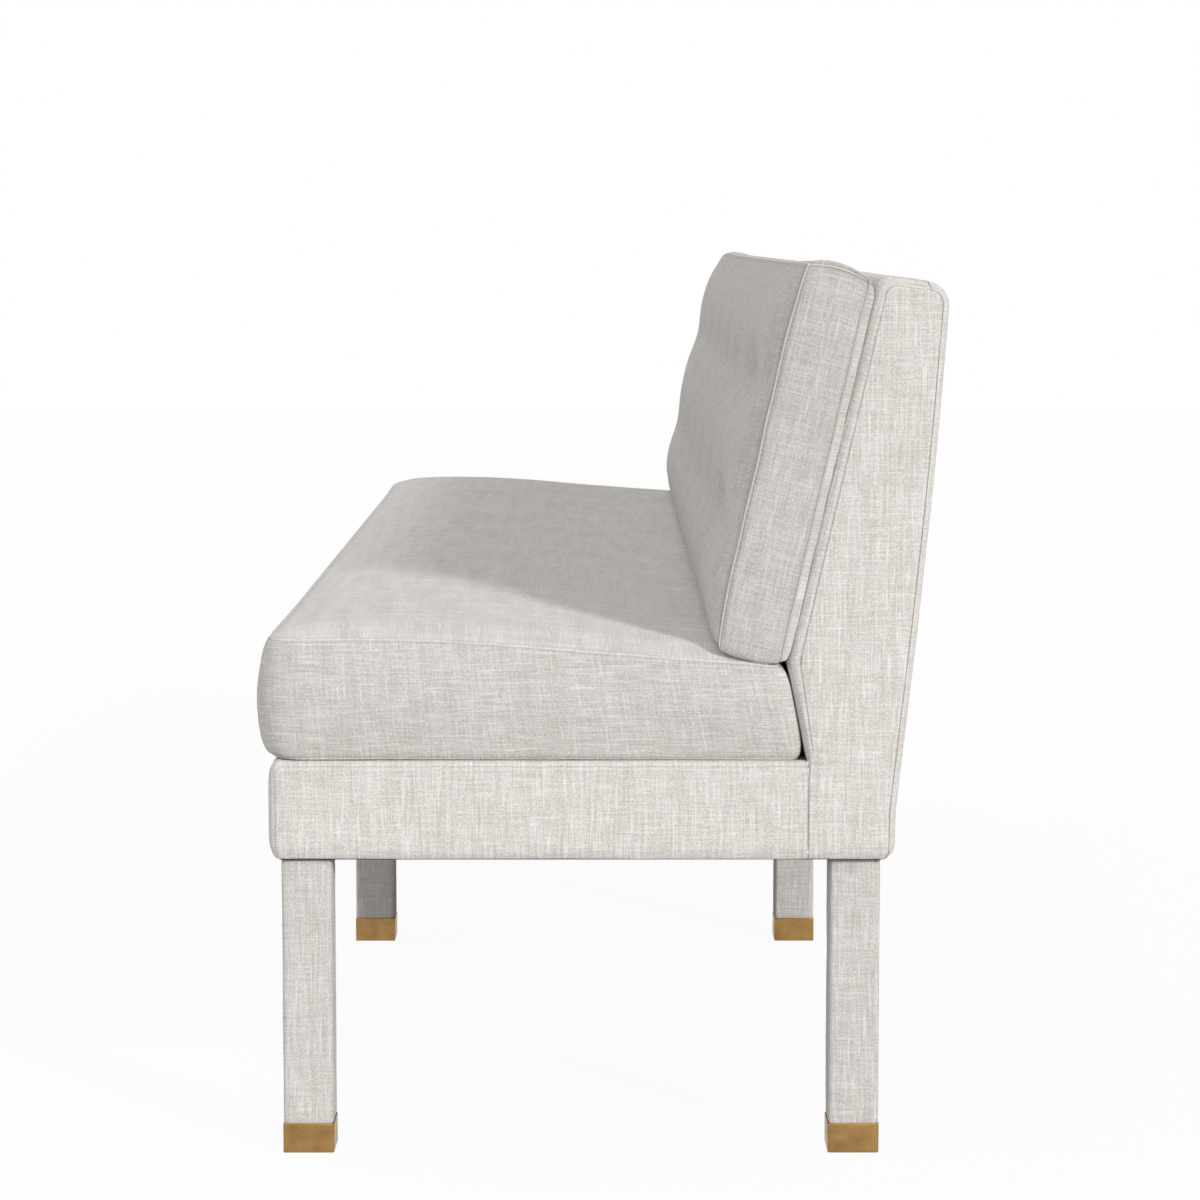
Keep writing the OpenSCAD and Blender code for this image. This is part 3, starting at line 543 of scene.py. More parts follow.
def rounded_plan(across, back, radii):
    """A rectangle of columns across and rows back, its corner squares drawn in to quarter circles of two
    radii, first the front corners' and then the rear ones'.

    In a corner square of side r, with u and v from 0 at its inner corner to 1, the point moves to
    (u * sqrt(1 - v*v/2), v * sqrt(1 - u*u/2)), which keeps the inner sides and rounds the outer ones.
    Returns x, y and the distance to the outline."""
    x, y = np.meshgrid(across, back)
    r = np.where(y < back.mean(), *radii)
    dx, dy = np.minimum(x - across[0], across[-1] - x), np.minimum(y - back[0], back[-1] - y)
    u, v = np.clip(1 - dx / r, 0, 1), np.clip(1 - dy / r, 0, 1)
    u2, v2 = u * np.sqrt(1 - v * v / 2), v * np.sqrt(1 - u * u / 2)
    x = x - np.sign(x - x.mean()) * (u - u2) * r
    y = y - np.sign(y - y.mean()) * (v - v2) * r
    inside = np.where((dx < r) & (dy < r), r * (1 - np.hypot(u2, v2)), np.minimum(dx, dy))
    return x, y, inside


def seat_surface(across, back, heights):
    """The seat cushion on a pattern: columns at across (mm), rows at back (0 front to 1 rear), band heights
    0 to 1.

    Top: the line from front to rear seam plus a crown, rise * sin(pi * (1 - back) ** 1.67), whose rise goes
    from 8.5 at the ends to 12.5 in the middle, and a low roll of 1.6 near the rear. All round, the rim drops
    by 4 to the seam over a short way, and by 4.5 more towards the ends over a longer one.
    Band: the straight line between the two seams, plus bulge * fullness(height) along the outline's outward
    normal (nx, ny): the ends' bulge by nx along X, and the front's or the rear's by ny along Y."""
    depth = SEAT_SEAM_REAR - SEAT_SEAM_FRONT
    x, y, inside = rounded_plan(across, back * depth, SEAT_CORNERS)
    t = y / depth
    to_end = np.maximum(SEAT_SEAM_X - np.abs(x), 0)
    rise = RISE_AT_ENDS + RISE_MORE * (1 - np.abs(x / HALF_L) ** 4) * (1 - np.exp(-inside / RISE_REACH))
    crown = np.sin(np.pi * np.clip(1 - t, 0, 1) ** 1.67)
    z = SEAT_Z + SEAT_FRONT_T + (SEAT_REAR_T - SEAT_FRONT_T) * t + rise * crown
    z = (z + REAR_ROLL * np.sin(np.pi * t ** 6) + RIM_DROP * (1 - np.exp(-inside / RIM_REACH))
         + END_DROP * (1 - np.exp(-to_end / END_REACH)))
    top = np.stack([x, SEAT_SEAM_FRONT + y, z], -1)

    low_front = SEAT_SEAM_FRONT - SEAT_FRONT[0]
    low_depth = depth + SEAT_FRONT[0] + SEAT_REAR[0]
    low_x, low_y = x * (1 + SEAT_END[0] / SEAT_SEAM_X), low_front + t * low_depth
    low = np.stack([low_x, low_y, np.full_like(x, SEAT_Z)], -1)

    foot, head = at_border(low), at_border(top)
    # Outward direction in plan, from the rounded outline itself
    along = np.roll(head[:, :2], -1, 0) - np.roll(head[:, :2], 1, 0)
    normal = np.stack([along[:, 1], -along[:, 0]], -1)
    normal /= np.linalg.norm(normal, axis=1, keepdims=True)
    h = heights[1:-1, None]
    sides = np.tile(SEAT_END, (len(head), 1)), np.where(normal[:, 1:] < 0, SEAT_FRONT, SEAT_REAR)
    out = np.stack([bulge * fullness(h, np.where(h < 0.5, flat_low, flat_high))
                    for _, bulge, flat_low, flat_high in (side.T for side in sides)], -1)
    on_rear = (normal[:, 1] > 0.95) & (np.abs(head[:, 0]) < ZIP_HALF)
    out[..., 1] -= GROOVE_DEPTH * (on_rear & (np.abs(h - 0.5) < GROOVE_SHARE + 0.005))
    tall = head[:, 2] - SEAT_Z
    band = foot * (1 - h[..., None]) + head * h[..., None]
    band[..., :2] += out * normal
    return top, low, band, inside, tall


def seat_limit(points):
    """Keeps the cushion above the deck and in front of the back's lower face, y = 525 - 0.21 * (z - 400)."""
    points[:, 2] = np.maximum(points[:, 2], SEAT_Z - 0.1)
    points[:, 1] = np.minimum(points[:, 1], FOOT_Y - REST_GAP - BACK_FACE * (points[:, 2] - BASE_TOP))
    return points


def with_groove(rows, g, clear):
    """Shares of a band's width with the four rows of the zip's groove, g wide to each side of the middle."""
    kept = [r for r in rows if abs(r - 0.5) > g + clear]
    return np.array(sorted([*kept, 0.49 - g, 0.5 - g, 0.5 + g, 0.51 + g]))


seat_across = steps(2 * SEAT_SEAM_X, NEAR_SEAM, 15) - SEAT_SEAM_X
seat_back = steps(SEAT_SEAM_REAR - SEAT_SEAM_FRONT, NEAR_SEAM, 14) / (SEAT_SEAM_REAR - SEAT_SEAM_FRONT)
seat_heights = steps(SEAT_BAND_MM, (0, 0.3, *NEAR_SEAM[1:]), 12) / SEAT_BAND_MM
seat_heights = with_groove(seat_heights, GROOVE_SHARE, 0.03)
print("seat cushion pattern:", len(seat_across), "x", len(seat_back), "with", len(seat_heights), "band rows")

# %% [markdown]
# ## Letting the air in
#
# A drawn shape is too perfect. Blender's cloth solver blows a coarse copy of each cushion up a little with
# its seams held, and its panels stretch and buckle as a filled cover does. The solver would make a mess of
# seams a millimetre wide, so only the movement is kept: it is read off the coarse pattern, held to a few
# millimetres, and spread over the fine pattern by straight interpolation along each of its two ways.

# %% Helper: inflate a coarse cushion and carry the movement over
CLOTH_SETTINGS = {"quality": 6, "mass": 0.3, "tension_stiffness": 15, "compression_stiffness": 15,
                  "shear_stiffness": 5, "bending_stiffness": 0.4, "use_pressure": True,
                  "uniform_pressure_force": 4.0, "vertex_group_mass": "held"}
HELD, LAST_FRAME = 0.6, 20


def weights(fine, coarse):
    """Matrix that interpolates values at coarse positions to the fine ones."""
    return np.stack([np.interp(fine, coarse, row) for row in np.eye(len(coarse))], 1)


def inflate(name, coarse, cap):
    """Runs Cloth with pressure on (low, top, band) grids; returns how far each moved, capped, in mm."""
    low, top, band = coarse
    points, faces = boxed(low, top, band)
    mesh = bpy.data.meshes.new(name)
    mesh.from_pydata((points * MM).tolist(), [], faces.tolist())
    blank = bpy.data.objects.new(name, mesh)
    SCENE.collection.objects.link(blank)
    edge, count = border(*top.shape[:2]), top.shape[0] * top.shape[1]
    held = blank.vertex_groups.new(name="held")
    held.add(np.concatenate([edge, count + edge]).tolist(), HELD, "REPLACE")
    cloth = blank.modifiers.new("cloth", "CLOTH")
    for key, value in CLOTH_SETTINGS.items():
        setattr(cloth.settings, key, value)
    cloth.settings.effector_weights.gravity = 0
    cloth.point_cache.frame_start, cloth.point_cache.frame_end = 1, LAST_FRAME
    for number in range(1, LAST_FRAME + 1):
        SCENE.frame_set(number)
    blown = blank.evaluated_get(bpy.context.evaluated_depsgraph_get()).to_mesh()
    after = np.empty(len(points) * 3, np.float32)
    blown.vertices.foreach_get("co", after)
    moved = after.reshape(-1, 3) / MM - points
    SCENE.frame_set(1)
    bpy.data.objects.remove(blank)
    size = np.linalg.norm(moved, axis=1, keepdims=True)
    moved = moved * np.minimum(1, cap / np.maximum(size, 1e-6))
    print(name, "moved", round(float(np.median(size)), 2), "mm at the middle rank,",
          round(float(size.max()), 1), "at most")
    return (moved[count:2 * count].reshape(low.shape), moved[:count].reshape(top.shape),
            moved[2 * count:].reshape(band.shape))


# %% [markdown]
# The panels' movement spreads over the fine grid along its rows and its columns. The band runs round all
# four sides, so its movement is read side by side.

# %% Helper: spread the coarse movement over the fine pattern
def side_slices(rows, cols):
    """The four stretches of a border, each with the way its positions run: cols, rows, cols, rows."""
    a, b = cols - 1, rows - 1
    return [(slice(0, a), "cols", 1), (slice(a, a + b), "rows", 1),
            (slice(a + b, 2 * a + b), "cols", -1), (slice(2 * a + b, 2 * (a + b)), "rows", -1)]


def spread(moved, coarse, fine):
    """Coarse movement of (low, top, band) interpolated from (cols, rows, heights) coarse to fine."""
    (cc, cr, ch), (fc, fr, fh) = coarse, fine
    across, back, up = weights(fc, cc), weights(fr, cr), weights(fh, ch)
    low, top = (np.einsum("ai,bj,ijk->abk", back, across, m) for m in moved[:2])
    full = np.einsum("ai,ijk->ajk", up, whole_band(*moved))
    sides = []
    for part, way, sign in side_slices(len(cr), len(cc)):
        closed = np.concatenate([full[:, part], full[:, [part.stop % full.shape[1]]]], 1)
        matrix = across if way == "cols" else back
        matrix = matrix[::-1, ::-1] if sign < 0 else matrix
        sides.append(np.einsum("bj,ajk->abk", matrix, closed)[:, :-1])
    return low, top, np.concatenate(sides, 1)[1:-1]


# %% [markdown]
# The pieces come together here: the surface, the movement from the cloth solver, and then, on the fine
# pattern, what a solver can't hold: the ridge and hollows of the seams and the small puckers beside them.

# %% Helper: finish a cushion from its surface
def finish_cushion(name, surface, pattern, coarse_pattern, seam_of_band, uv_of, limit, material,
                   cap, seed, piping, sunk):
    """Builds a cushion object. seam_of_band gives the band's distance to a seam in mm, and limit keeps the
    points clear of what the cushion rests on. cap is the most that the solver may move a point, piping the
    height of the seam's ridge, and sunk how deep the lower panel's seam lies in the cloth."""
    top, low, band, inside, tall = surface(*pattern)
    c_top, c_low, c_band, _, _ = surface(*coarse_pattern)
    moved = inflate(name + "_blank", (c_low, c_top, c_band), cap=cap)
    d_low, d_top, d_band = spread(moved, coarse_pattern, pattern)
    top, low, band = top + d_top, low + d_low, band + d_band
    points, faces = boxed(low, top, band)
    band_seam = seam_of_band(pattern, tall)
    low_seam = inside.ravel() + sunk if sunk else -inside.ravel()
    signed = np.concatenate([low_seam, -inside.ravel(), band_seam.ravel()])
    seam = np.abs(signed)
    normal = outward(points, faces)
    run = points[:, 0] + 0.7 * points[:, 1] + 0.4 * points[:, 2]
    pucker = 0.6 * waves(run, seed, 46) * np.exp(-seam / 13) * (1 - np.exp(-seam / 2.5))
    sway = 0.5 * waves(points[:, 0], seed + 1, 620) + 0.3 * waves(points[:, 1] + points[:, 2], seed + 2, 210)
    raised = ridge(seam, piping) + pucker + sway * np.clip(seam / 25, 0, 1)
    points = limit(points + normal * raised[:, None])
    # A panel's gathers are counted along its nearest edge: along Y and Z beside an end, along X elsewhere
    across, _, _ = pattern
    far, near = np.abs(across).max() - np.abs(top[..., 0]), inside + 0.01
    along = np.where(far <= near, top[..., 1] + top[..., 2], top[..., 0]).ravel()
    run = length_along(band[len(band) // 2][None])[0, :-1]
    along = np.concatenate([along, along, np.tile(run, len(band))])
    return make_mesh(name, points, faces, uv_of(low, top, band), signed, material, along)


LOW_SHIFT, BAND_SHIFT = 5000, 9000


def band_distance(pattern, tall):
    """Distance of each inner band point to the nearer of the band's two seams."""
    h = pattern[2][1:-1, None]
    return np.minimum(h, 1 - h) * tall


def seat_uv(low, top, band):
    """Cloth coordinates of the seat cushion: the plan for its panels, and for the band the way round and the
    height. The shifts of 5 and 9 m keep the three from sharing their streaks."""
    full = whole_band(low, top, band)
    run = length_along(full[len(full) // 2:len(full) // 2 + 1])
    run = np.repeat(run, len(full), 0)
    up = np.concatenate([full[..., 2], full[:, :1, 2]], 1)
    return boxed_uv(low[..., :2] + LOW_SHIFT, top[..., :2], np.stack([run, up + BAND_SHIFT], -1))


# %% Seat cushion: the piece
seat_coarse = (np.linspace(seat_across[0], seat_across[-1], 120), np.linspace(0, 1, 30),
               np.linspace(0, 1, 9))
seat_cushion = finish_cushion("seat_cushion", seat_surface, (seat_across, seat_back, seat_heights),
                              seat_coarse, band_distance, seat_uv, seat_limit, seat_linen,
                              cap=6.0, seed=11, piping=0.4, sunk=0.0)
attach(seat_cushion, "seat_cushion")
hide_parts("seat_cushion_cover")
print("seat cushion:", len(seat_cushion.data.polygons), "faces")

# %% [markdown]
# ## Back cushion
#
# The back cushion leans on the raked back. It is a box cushion too, but its four boxing strips are sewn
# together at the corners, and its front panel is drawn in at two rows of six blind tufts. It is worked out
# in its own leaning frame: x along the bench, u up the slope from the knee of the back, and w out of it.
# Its end seam is not straight: it bows out above and below and draws in at mid height.

# %% Back cushion: the surface
KNEE = np.array([504.0, 500.0])
RAKE = math.radians(12.85)
BOLSTER_H, BOLSTER_T = 387.0, 68.4
BOLSTER_SEAM_X = 1128.0
FRONT_U, REAR_U = (-1.5, 386.5), (-1.0, 383.5)
SEAM_ARCH = 5.4
CREST_NEAR, CREST_FAR = 3.2, 0.5
REST_W = 0.5
SUNK = 1.6
# How the rear panel rolls round to its seam, at these distances from it: over the ends, where the edge of the
# back falls away, it dips and then comes out; at the foot and the top it only comes out
ROLL_AT = (0, 1.2, 2.4, 4, 7, 12, 19, 34, 60)
ROLL_END_X = (2.6, 3.2, 3.5, 3.4, 2.6, -1.4, -8.4, -23.4, -49.4)
ROLL_END_W = (4.5, 3.2, 1.8, 0.0, -2.4, -0.2, 1.6, 1.6, 0)
ROLL_FOOT_U = (0, -0.5, -0.6, 0.2, 2.5, 7, 14, 29, 55)
ROLL_W = (5.5, 4.4, 3.4, 2.4, 1.2, 0.3, 0, 0, 0)
# Further in than this the panel lies flat, and its columns and rows keep their own spacing
ROLL_REACH = 19
ROLL_OUT_X, ROLL_OUT_FOOT = 10.6, 5
TUFT_COLUMNS = 6
TUFT_PITCH = 2 * HALF_L / (TUFT_COLUMNS + 1)
TUFT_X = -HALF_L + TUFT_PITCH * np.arange(1, TUFT_COLUMNS + 1)
TUFT_T = np.array([0.29, 0.66])
TUFT_DEPTH = np.array([11.7, 14.0])
# How far a dip reaches: along u, along x between two tufts, and straight out to the ends of the bench
DIP_U, DIP_X, DIP_TO_END = 40, 60, 290
SWELL, FLAT_BELOW, FLAT_ABOVE = 20.0, 3.4, 2.5
ROW_SPREAD, ROW_HOLLOW = 0.09, 0.35
STITCH_L, PINCH_R = 19.0, 5
TWINE_R, TWINE_PITCH = 0.95, 2.5
STITCH_UP, STITCH_DIVE = 1.0, 4.2
BACK_GROOVE = 6.0 / BOLSTER_T
# The inside cover turns over the edge of the back: how far in it starts, and how far it falls away
INSIDE_EDGE_DEEP, INSIDE_EDGE_DROP = 14.0, 12.5


def lean(x, u, w):
    """A point of the leaning frame in bench millimetres."""
    y = KNEE[0] + u * math.sin(RAKE) - w * math.cos(RAKE)
    z = KNEE[1] + u * math.cos(RAKE) + w * math.sin(RAKE)
    return np.stack(np.broadcast_arrays(x, y, z), -1)


def front_w(x, t, pinched=True):
    """Height of the front panel over the back at x and share t of the cushion's height.

    The end seam's wavy line, plus a swell 20 * fullness(t, p) that fades to the ends, with p 3.4 in the lower
    half and 2.5 in the upper. It is drawn in by a shallow hollow along each tuft row, a dip round each tuft,
    which runs out straight to the ends of the bench over 290 mm, and a narrow pinch along its stitch."""
    arch = np.sqrt(np.sin(np.pi * np.clip(t, 0, 1)))
    seam_line = BOLSTER_T + 4.5 * arch - 2.5 * np.exp(-((t - 0.47) / 0.13) ** 2)
    row = np.exp(-((t[..., None] - TUFT_T) / ROW_SPREAD) ** 2).max(-1)
    near_x = np.abs(x[..., None] - TUFT_X).min(-1)
    off_u = np.abs((t[..., None] - TUFT_T) * BOLSTER_H)
    outboard = np.abs(x) - TUFT_X[-1]
    wide = np.where(outboard > 0, np.clip(1 - outboard / DIP_TO_END, 0, 1), np.exp(-(near_x / DIP_X) ** 2))
    dip = wide * (TUFT_DEPTH * np.exp(-(off_u / DIP_U) ** 2)).max(-1)
    pinch = np.exp(-(near_x / PINCH_R) ** 2 - (np.maximum(off_u.min(-1) - STITCH_L / 2, 0) / PINCH_R) ** 2)
    flat = np.where(t < 0.5, FLAT_BELOW, FLAT_ABOVE)
    swell = SWELL * fullness(np.clip(t, 0, 1), flat) * (1 - ROW_HOLLOW * row) - dip
    to_end = 1 - np.exp(-(HALF_L - np.abs(x)) / 26)
    return seam_line + swell * to_end - 1.0 * pinch * pinched


def back_surface(across, up, depths):
    """The back cushion on a pattern: columns at across (mm), rows at up (0 to 1), band depths 0 rear to 1
    front.

    The rear panel lies at w = 0.5 and rolls round to its seam by the ROLL tables. The band runs straight from
    the rear seam to the front seam, plus an arch 5.4 * 4d(1 - d) over the top, plus bulge * fullness(depth).
    The bulge is 5 out at the ends, 9 below, and 2.5 over the top, with a crest close to each end: 3.2 more
    at the near end and 0.5 at the far one."""
    x, t = np.meshgrid(across, up)
    to_end, to_foot, to_top = BOLSTER_SEAM_X - np.abs(x), BOLSTER_H * t, BOLSTER_H * (1 - t)
    front_u = FRONT_U[0] + t * (FRONT_U[1] - FRONT_U[0]) + 2.5 * (1 - np.exp(-to_end / 35)) * t ** 6
    top = lean(x, front_u, front_w(x, t))
    dip = np.interp(to_end, ROLL_AT, ROLL_END_W) * (1 - np.exp(-np.minimum(to_foot, to_top) / 6))
    stand = np.interp(to_foot, ROLL_AT, ROLL_W) + np.interp(to_top, ROLL_AT, ROLL_W)
    rolled_x = np.where(to_end < ROLL_REACH, np.interp(to_end, ROLL_AT, ROLL_END_X), ROLL_OUT_X - to_end)
    low_x = np.sign(x) * (BOLSTER_SEAM_X + rolled_x)
    foot_u = np.where(to_foot < ROLL_REACH, np.interp(to_foot, ROLL_AT, ROLL_FOOT_U), to_foot - ROLL_OUT_FOOT)
    low_u = np.where(t < 0.5, REAR_U[0] + foot_u, REAR_U[0] + t * (REAR_U[1] - REAR_U[0]))
    low = lean(low_x, low_u, REST_W + dip + stand)
    inside = np.minimum(to_end, np.minimum(to_foot, to_top))

    rim = border(*x.shape)
    et, to_end, to_foot, to_top = (v.ravel()[rim] for v in (t, to_end, to_foot, to_top))
    side = np.zeros(len(rim), int)
    for k, (part, _, _) in enumerate(side_slices(*x.shape)):
        side[part] = k
    on_end = side % 2 == 1
    to_corner = np.where(on_end, np.minimum(to_foot, to_top), to_end)
    sign = np.sign(x.ravel()[rim])
    bulge_x = np.where(on_end, sign * 5.0 * (1 - np.exp(-to_corner / 20)), 0)
    bulge_low = -6.5 - 2.5 * (1 - np.exp(-to_end / 12))
    crest = np.where(sign > 0, CREST_NEAR, CREST_FAR) * (to_end / 10) * np.exp(1 - to_end / 10)
    bulge_top = 2.5 * (1 - np.exp(-to_end / 8)) + crest
    bulge_u = np.where(side == 0, bulge_low, np.where(side == 2, bulge_top, -6.5 * np.exp(-to_foot / 30)))
    arch = SEAM_ARCH * np.where(side == 2, 1, np.where(on_end, np.exp(-to_top / 30), 0))
    d = depths[1:-1, None]
    head_w = front_w(x.ravel()[rim], et)
    zipped = (side == 0) & (to_end > BOLSTER_SEAM_X - ZIP_HALF) & (np.abs(d - 0.5) < BACK_GROOVE + 0.005)
    rise = arch * 4 * d * (1 - d) + bulge_u * fullness(d, 2.6) + GROOVE_DEPTH * zipped
    band = at_border(low) * (1 - d[..., None]) + at_border(top) * d[..., None]
    band = band + lean(bulge_x * fullness(d, 2.3), rise, 0.0) - [0, *KNEE]
    return top, low, band, inside, (head_w, to_corner)


def back_limit(points):
    """Keeps the cushion in front of the back: w is at least 0.4, or less where the cover's edge falls
    away."""
    w = (KNEE[0] - points[:, 1]) * math.cos(RAKE) + (points[:, 2] - KNEE[1]) * math.sin(RAKE)
    over = np.clip(1 - (HALF_L - np.abs(points[:, 0])) / INSIDE_EDGE_DEEP, 0, 1)
    short = np.maximum(REST_GAP - INSIDE_EDGE_DROP * (1 - np.sqrt(1 - over ** 2)) - w, 0)
    points[:, 1] -= short * math.cos(RAKE)
    points[:, 2] += short * math.sin(RAKE)
    return points


def back_band_distance(pattern, sizes):
    """Distance of each inner band point to its long seams or to the upright seam at the band's corners, which
    lies 1.6 mm deep in the cloth's hollow."""
    head_w, to_corner = sizes
    d = pattern[2][1:-1, None]
    return np.minimum((1 - d) * head_w, np.minimum(d * head_w, to_corner) + SUNK)


def back_uv(low, top, band):
    """Cloth coordinates of the back cushion: x and the way up the slope for its panels, and for the band the
    depth and the way round."""
    full = whole_band(low, top, band)
    run = np.repeat(length_along(full[-1:]), len(full), 0)
    rise = np.linalg.norm(np.diff(full, axis=0), axis=2).cumsum(0)
    rise = np.concatenate([np.zeros_like(rise[:1]), rise])
    rise = np.concatenate([rise, rise[:, :1]], 1)
    low_up, top_up = (p[..., 1] * math.sin(RAKE) + p[..., 2] * math.cos(RAKE) for p in (low, top))
    low_uv = np.stack([low[..., 0] + LOW_SHIFT, low_up], -1)
    return boxed_uv(low_uv, np.stack([top[..., 0], top_up], -1), np.stack([rise + BAND_SHIFT, run], -1))


def near_tufts(positions, centres, offsets):
    """Positions with extra ones close to each tuft, so that the pinch has points to show it."""
    extra = (np.asarray(centres)[:, None] + np.asarray(offsets)).ravel()
    kept = positions[np.abs(positions[:, None] - extra).min(1) > 2.0]
    return np.unique(np.round(np.concatenate([kept, extra]), 4))


across = steps(2 * BOLSTER_SEAM_X, NEAR_SEAM, 16) - BOLSTER_SEAM_X
back_across = near_tufts(across, TUFT_X, (-9, -5, -2.6, -1.2, 0, 1.2, 2.6, 5, 9))
back_up = steps(BOLSTER_H, NEAR_SEAM, 13)
back_up = near_tufts(back_up, TUFT_T * BOLSTER_H, (-15, -11.5, -9, -4, 0, 4, 9, 11.5, 15)) / BOLSTER_H
back_depths = with_groove(steps(BOLSTER_T, NEAR_SEAM[:-1], 9) / BOLSTER_T, BACK_GROOVE, 0.02)
back_coarse = (np.linspace(across[0], across[-1], 120), np.linspace(0, 1, 24), np.linspace(0, 1, 6))
back_cushion = finish_cushion("back_cushion", back_surface, (back_across, back_up, back_depths),
                              back_coarse, back_band_distance, back_uv, back_limit, back_linen,
                              cap=4.0, seed=29, piping=1.4, sunk=SUNK)
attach(back_cushion, "back_cushion")
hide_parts("back_cushion_cover")
print("back cushion:", len(back_cushion.data.polygons), "faces")

# %% [markdown]
# ## Tufting stitches
#
# Each tuft is one short upright stitch of dark twine, drawn tight through the cushion. A twelve-sided ring
# carried along a shallow arc makes the thread; its ends dive into the cloth. All twelve are one piece.

# %% Stitches
def stitches():
    """Tubes of 1.9 mm twine: each runs 1 mm over the front panel along u and dives into it at both ends, by
    4.2 * s ** 6 with s from -1 to 1. A wave of 0.12 mm in the radius shows the twist of the plies."""
    s = np.linspace(-1, 1, 15)
    angle = np.linspace(0, 2 * np.pi, 12, endpoint=False)
    x0, t0 = (a.ravel()[:, None] for a in np.meshgrid(TUFT_X, TUFT_T))
    u = FRONT_U[0] + t0 * (FRONT_U[1] - FRONT_U[0]) + s * (STITCH_L / 2 + 1)
    w = front_w(np.broadcast_to(x0, u.shape), u / BOLSTER_H, pinched=False) + STITCH_UP - STITCH_DIVE * s ** 6
    twist = 0.12 * np.sin(2 * np.pi * s * STITCH_L / 2 / TWINE_PITCH)
    radius = (TWINE_R + twist)[:, None] * np.where(np.abs(s) > 0.99, 0.05, 1)[:, None]
    points = lean(x0[..., None] + radius * np.cos(angle), u[..., None], w[..., None] + radius * np.sin(angle))
    one = grid_faces(len(s), len(angle), wrap_cols=True)
    faces = one[None] + (len(s) * len(angle) * np.arange(len(x0)))[:, None, None]
    return points.reshape(-1, 3), faces.reshape(-1, 4)


stitch_points, stitch_faces = stitches()
stitch_object = make_mesh("tuft_stitches", stitch_points, stitch_faces, np.zeros((len(stitch_faces), 4, 2)),
                          NO_SEAM, twine)
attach(stitch_object, "back_cushion")
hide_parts("back_cushion_stitches")
print("stitches:", len(TUFT_X) * len(TUFT_T))

# %% [markdown]
# ## The outline of the back
#
# Seen from the end, the back is a slim wedge: upright behind the base, bent at the knee and raked, with
# a softly rounded top. All its covers follow this one outline, moved inward by a distance for each edge and
# rounded at the corners, which is how a pattern cutter draws a seam inside an edge.

# %% Helpers: the back's outline
TOP_FRONT, TOP_REAR = (591.18, 882.18), (664.85, 873.14)
BACK_CORNERS = np.array([(FOOT_Y, BASE_LOW), (612.6, BASE_LOW), (614.2, 350), TOP_REAR, TOP_FRONT,
                         tuple(KNEE), (FOOT_Y, BASE_TOP)])
BACK_RADII = np.array([0, 14, 0, 24, 18, 24, 0], float)
SEAM_INSET = np.array([0.0, 6.5, 6.5, 9.0, 12.5, 12.5, 2.0])
BACK_FOOT = np.array([(523.6, 406.5), (525.0, 400.0)])
SEAM_FOOT = np.array([(530.6, 408.0), (526.8, 394.0)])
ARC = 6
REAR_BOW, REAR_PARTS = 3.0, 12


def inset(corners, distances):
    """Corners of an anticlockwise outline moved inward: each lies on its two edges, both shifted along their
    normals."""
    before, after = corners - np.roll(corners, 1, 0), np.roll(corners, -1, 0) - corners
    n1, n2 = (np.stack([-v[:, 1], v[:, 0]], -1) / np.linalg.norm(v, axis=1, keepdims=True)
              for v in (before, after))
    k = (n1 * n2).sum(1, keepdims=True)
    d1, d2 = np.roll(distances, 1)[:, None], distances[:, None]
    return corners + ((d1 - k * d2) * n1 + (d2 - k * d1) * n2) / (1 - k * k)


def rounded(corners, radii):
    """Arcs in place of corners, (corners, ARC + 1, 2): a corner without a radius repeats its point."""
    a, b = np.roll(corners, 1, 0) - corners, np.roll(corners, -1, 0) - corners
    a, b = (v / np.linalg.norm(v, axis=1, keepdims=True) for v in (a, b))
    half = np.arccos((a * b).sum(1)) / 2
    middle = -(a + b) / np.linalg.norm(a + b, axis=1, keepdims=True)
    turn = (np.pi - 2 * half)[:, None] * (np.linspace(0, 1, ARC + 1) - 0.5)
    c, s = np.cos(turn), np.sin(turn)
    spokes = np.stack([middle[:, :1] * c - middle[:, 1:] * s, middle[:, :1] * s + middle[:, 1:] * c], -1)
    centre = corners - middle * (radii / np.sin(half))[:, None]
    return centre[:, None] + radii[:, None, None] * spokes


def back_outline(share):
    """The back's outline moved in by a share of the way to its end seam, as stations (n, 2) in order.
    At the foot of the front face the seam runs in to the corner of the base, and the rear face bows out."""
    radii = np.where(BACK_RADII == 0, 0, BACK_RADII * (1 - 0.42 * share))
    arcs = rounded(inset(BACK_CORNERS, SEAM_INSET * share), radii)
    low, high = arcs[2][0], arcs[3][0]
    part = np.linspace(0, 1, REAR_PARTS + 1)[:-1, None]
    rise = (high - low) / np.linalg.norm(high - low)
    rear = low + part * (high - low) + REAR_BOW * np.sin(np.pi * part ** 1.2) * [rise[1], -rise[0]]
    low_corner = arcs[1] + [0.6, 0]
    return np.concatenate([arcs[0][:1], low_corner, rear, arcs[3], arcs[4], arcs[5],
                           BACK_FOOT + share * (SEAM_FOOT - BACK_FOOT)])


def refine(points, cell):
    """Indices and shares that add stations along the long straight runs of an outline."""
    gap = np.linalg.norm(np.diff(points, axis=0), axis=1)
    parts = np.maximum(1, np.round(gap / cell)).astype(int)
    start = np.repeat(np.arange(len(parts)), parts)
    share = np.concatenate([np.arange(n) / n for n in parts])
    return np.append(start, len(points) - 2), np.append(share, 1.0)


REAR_FIRST = 1
TOP_REAR_LAST = REAR_FIRST + ARC + 1 + REAR_PARTS + ARC
print("outline of the back:", len(back_outline(0)), "stations")

# %% [markdown]
# ## Covers of the back
#
# The inside cover takes the front face and the top, the outside cover the rear face. Both turn over the
# edge of each end and stop at a seam a little way in. Each is one grid: stations along the outline by
# columns across the bench. At each end the columns go round the edge on a quarter ellipse and dip into the
# seam. Solidify gives them the thickness of the cloth.

# %% Covers of the back
EDGE_R = 8.0
CLOTH_T = 1.5


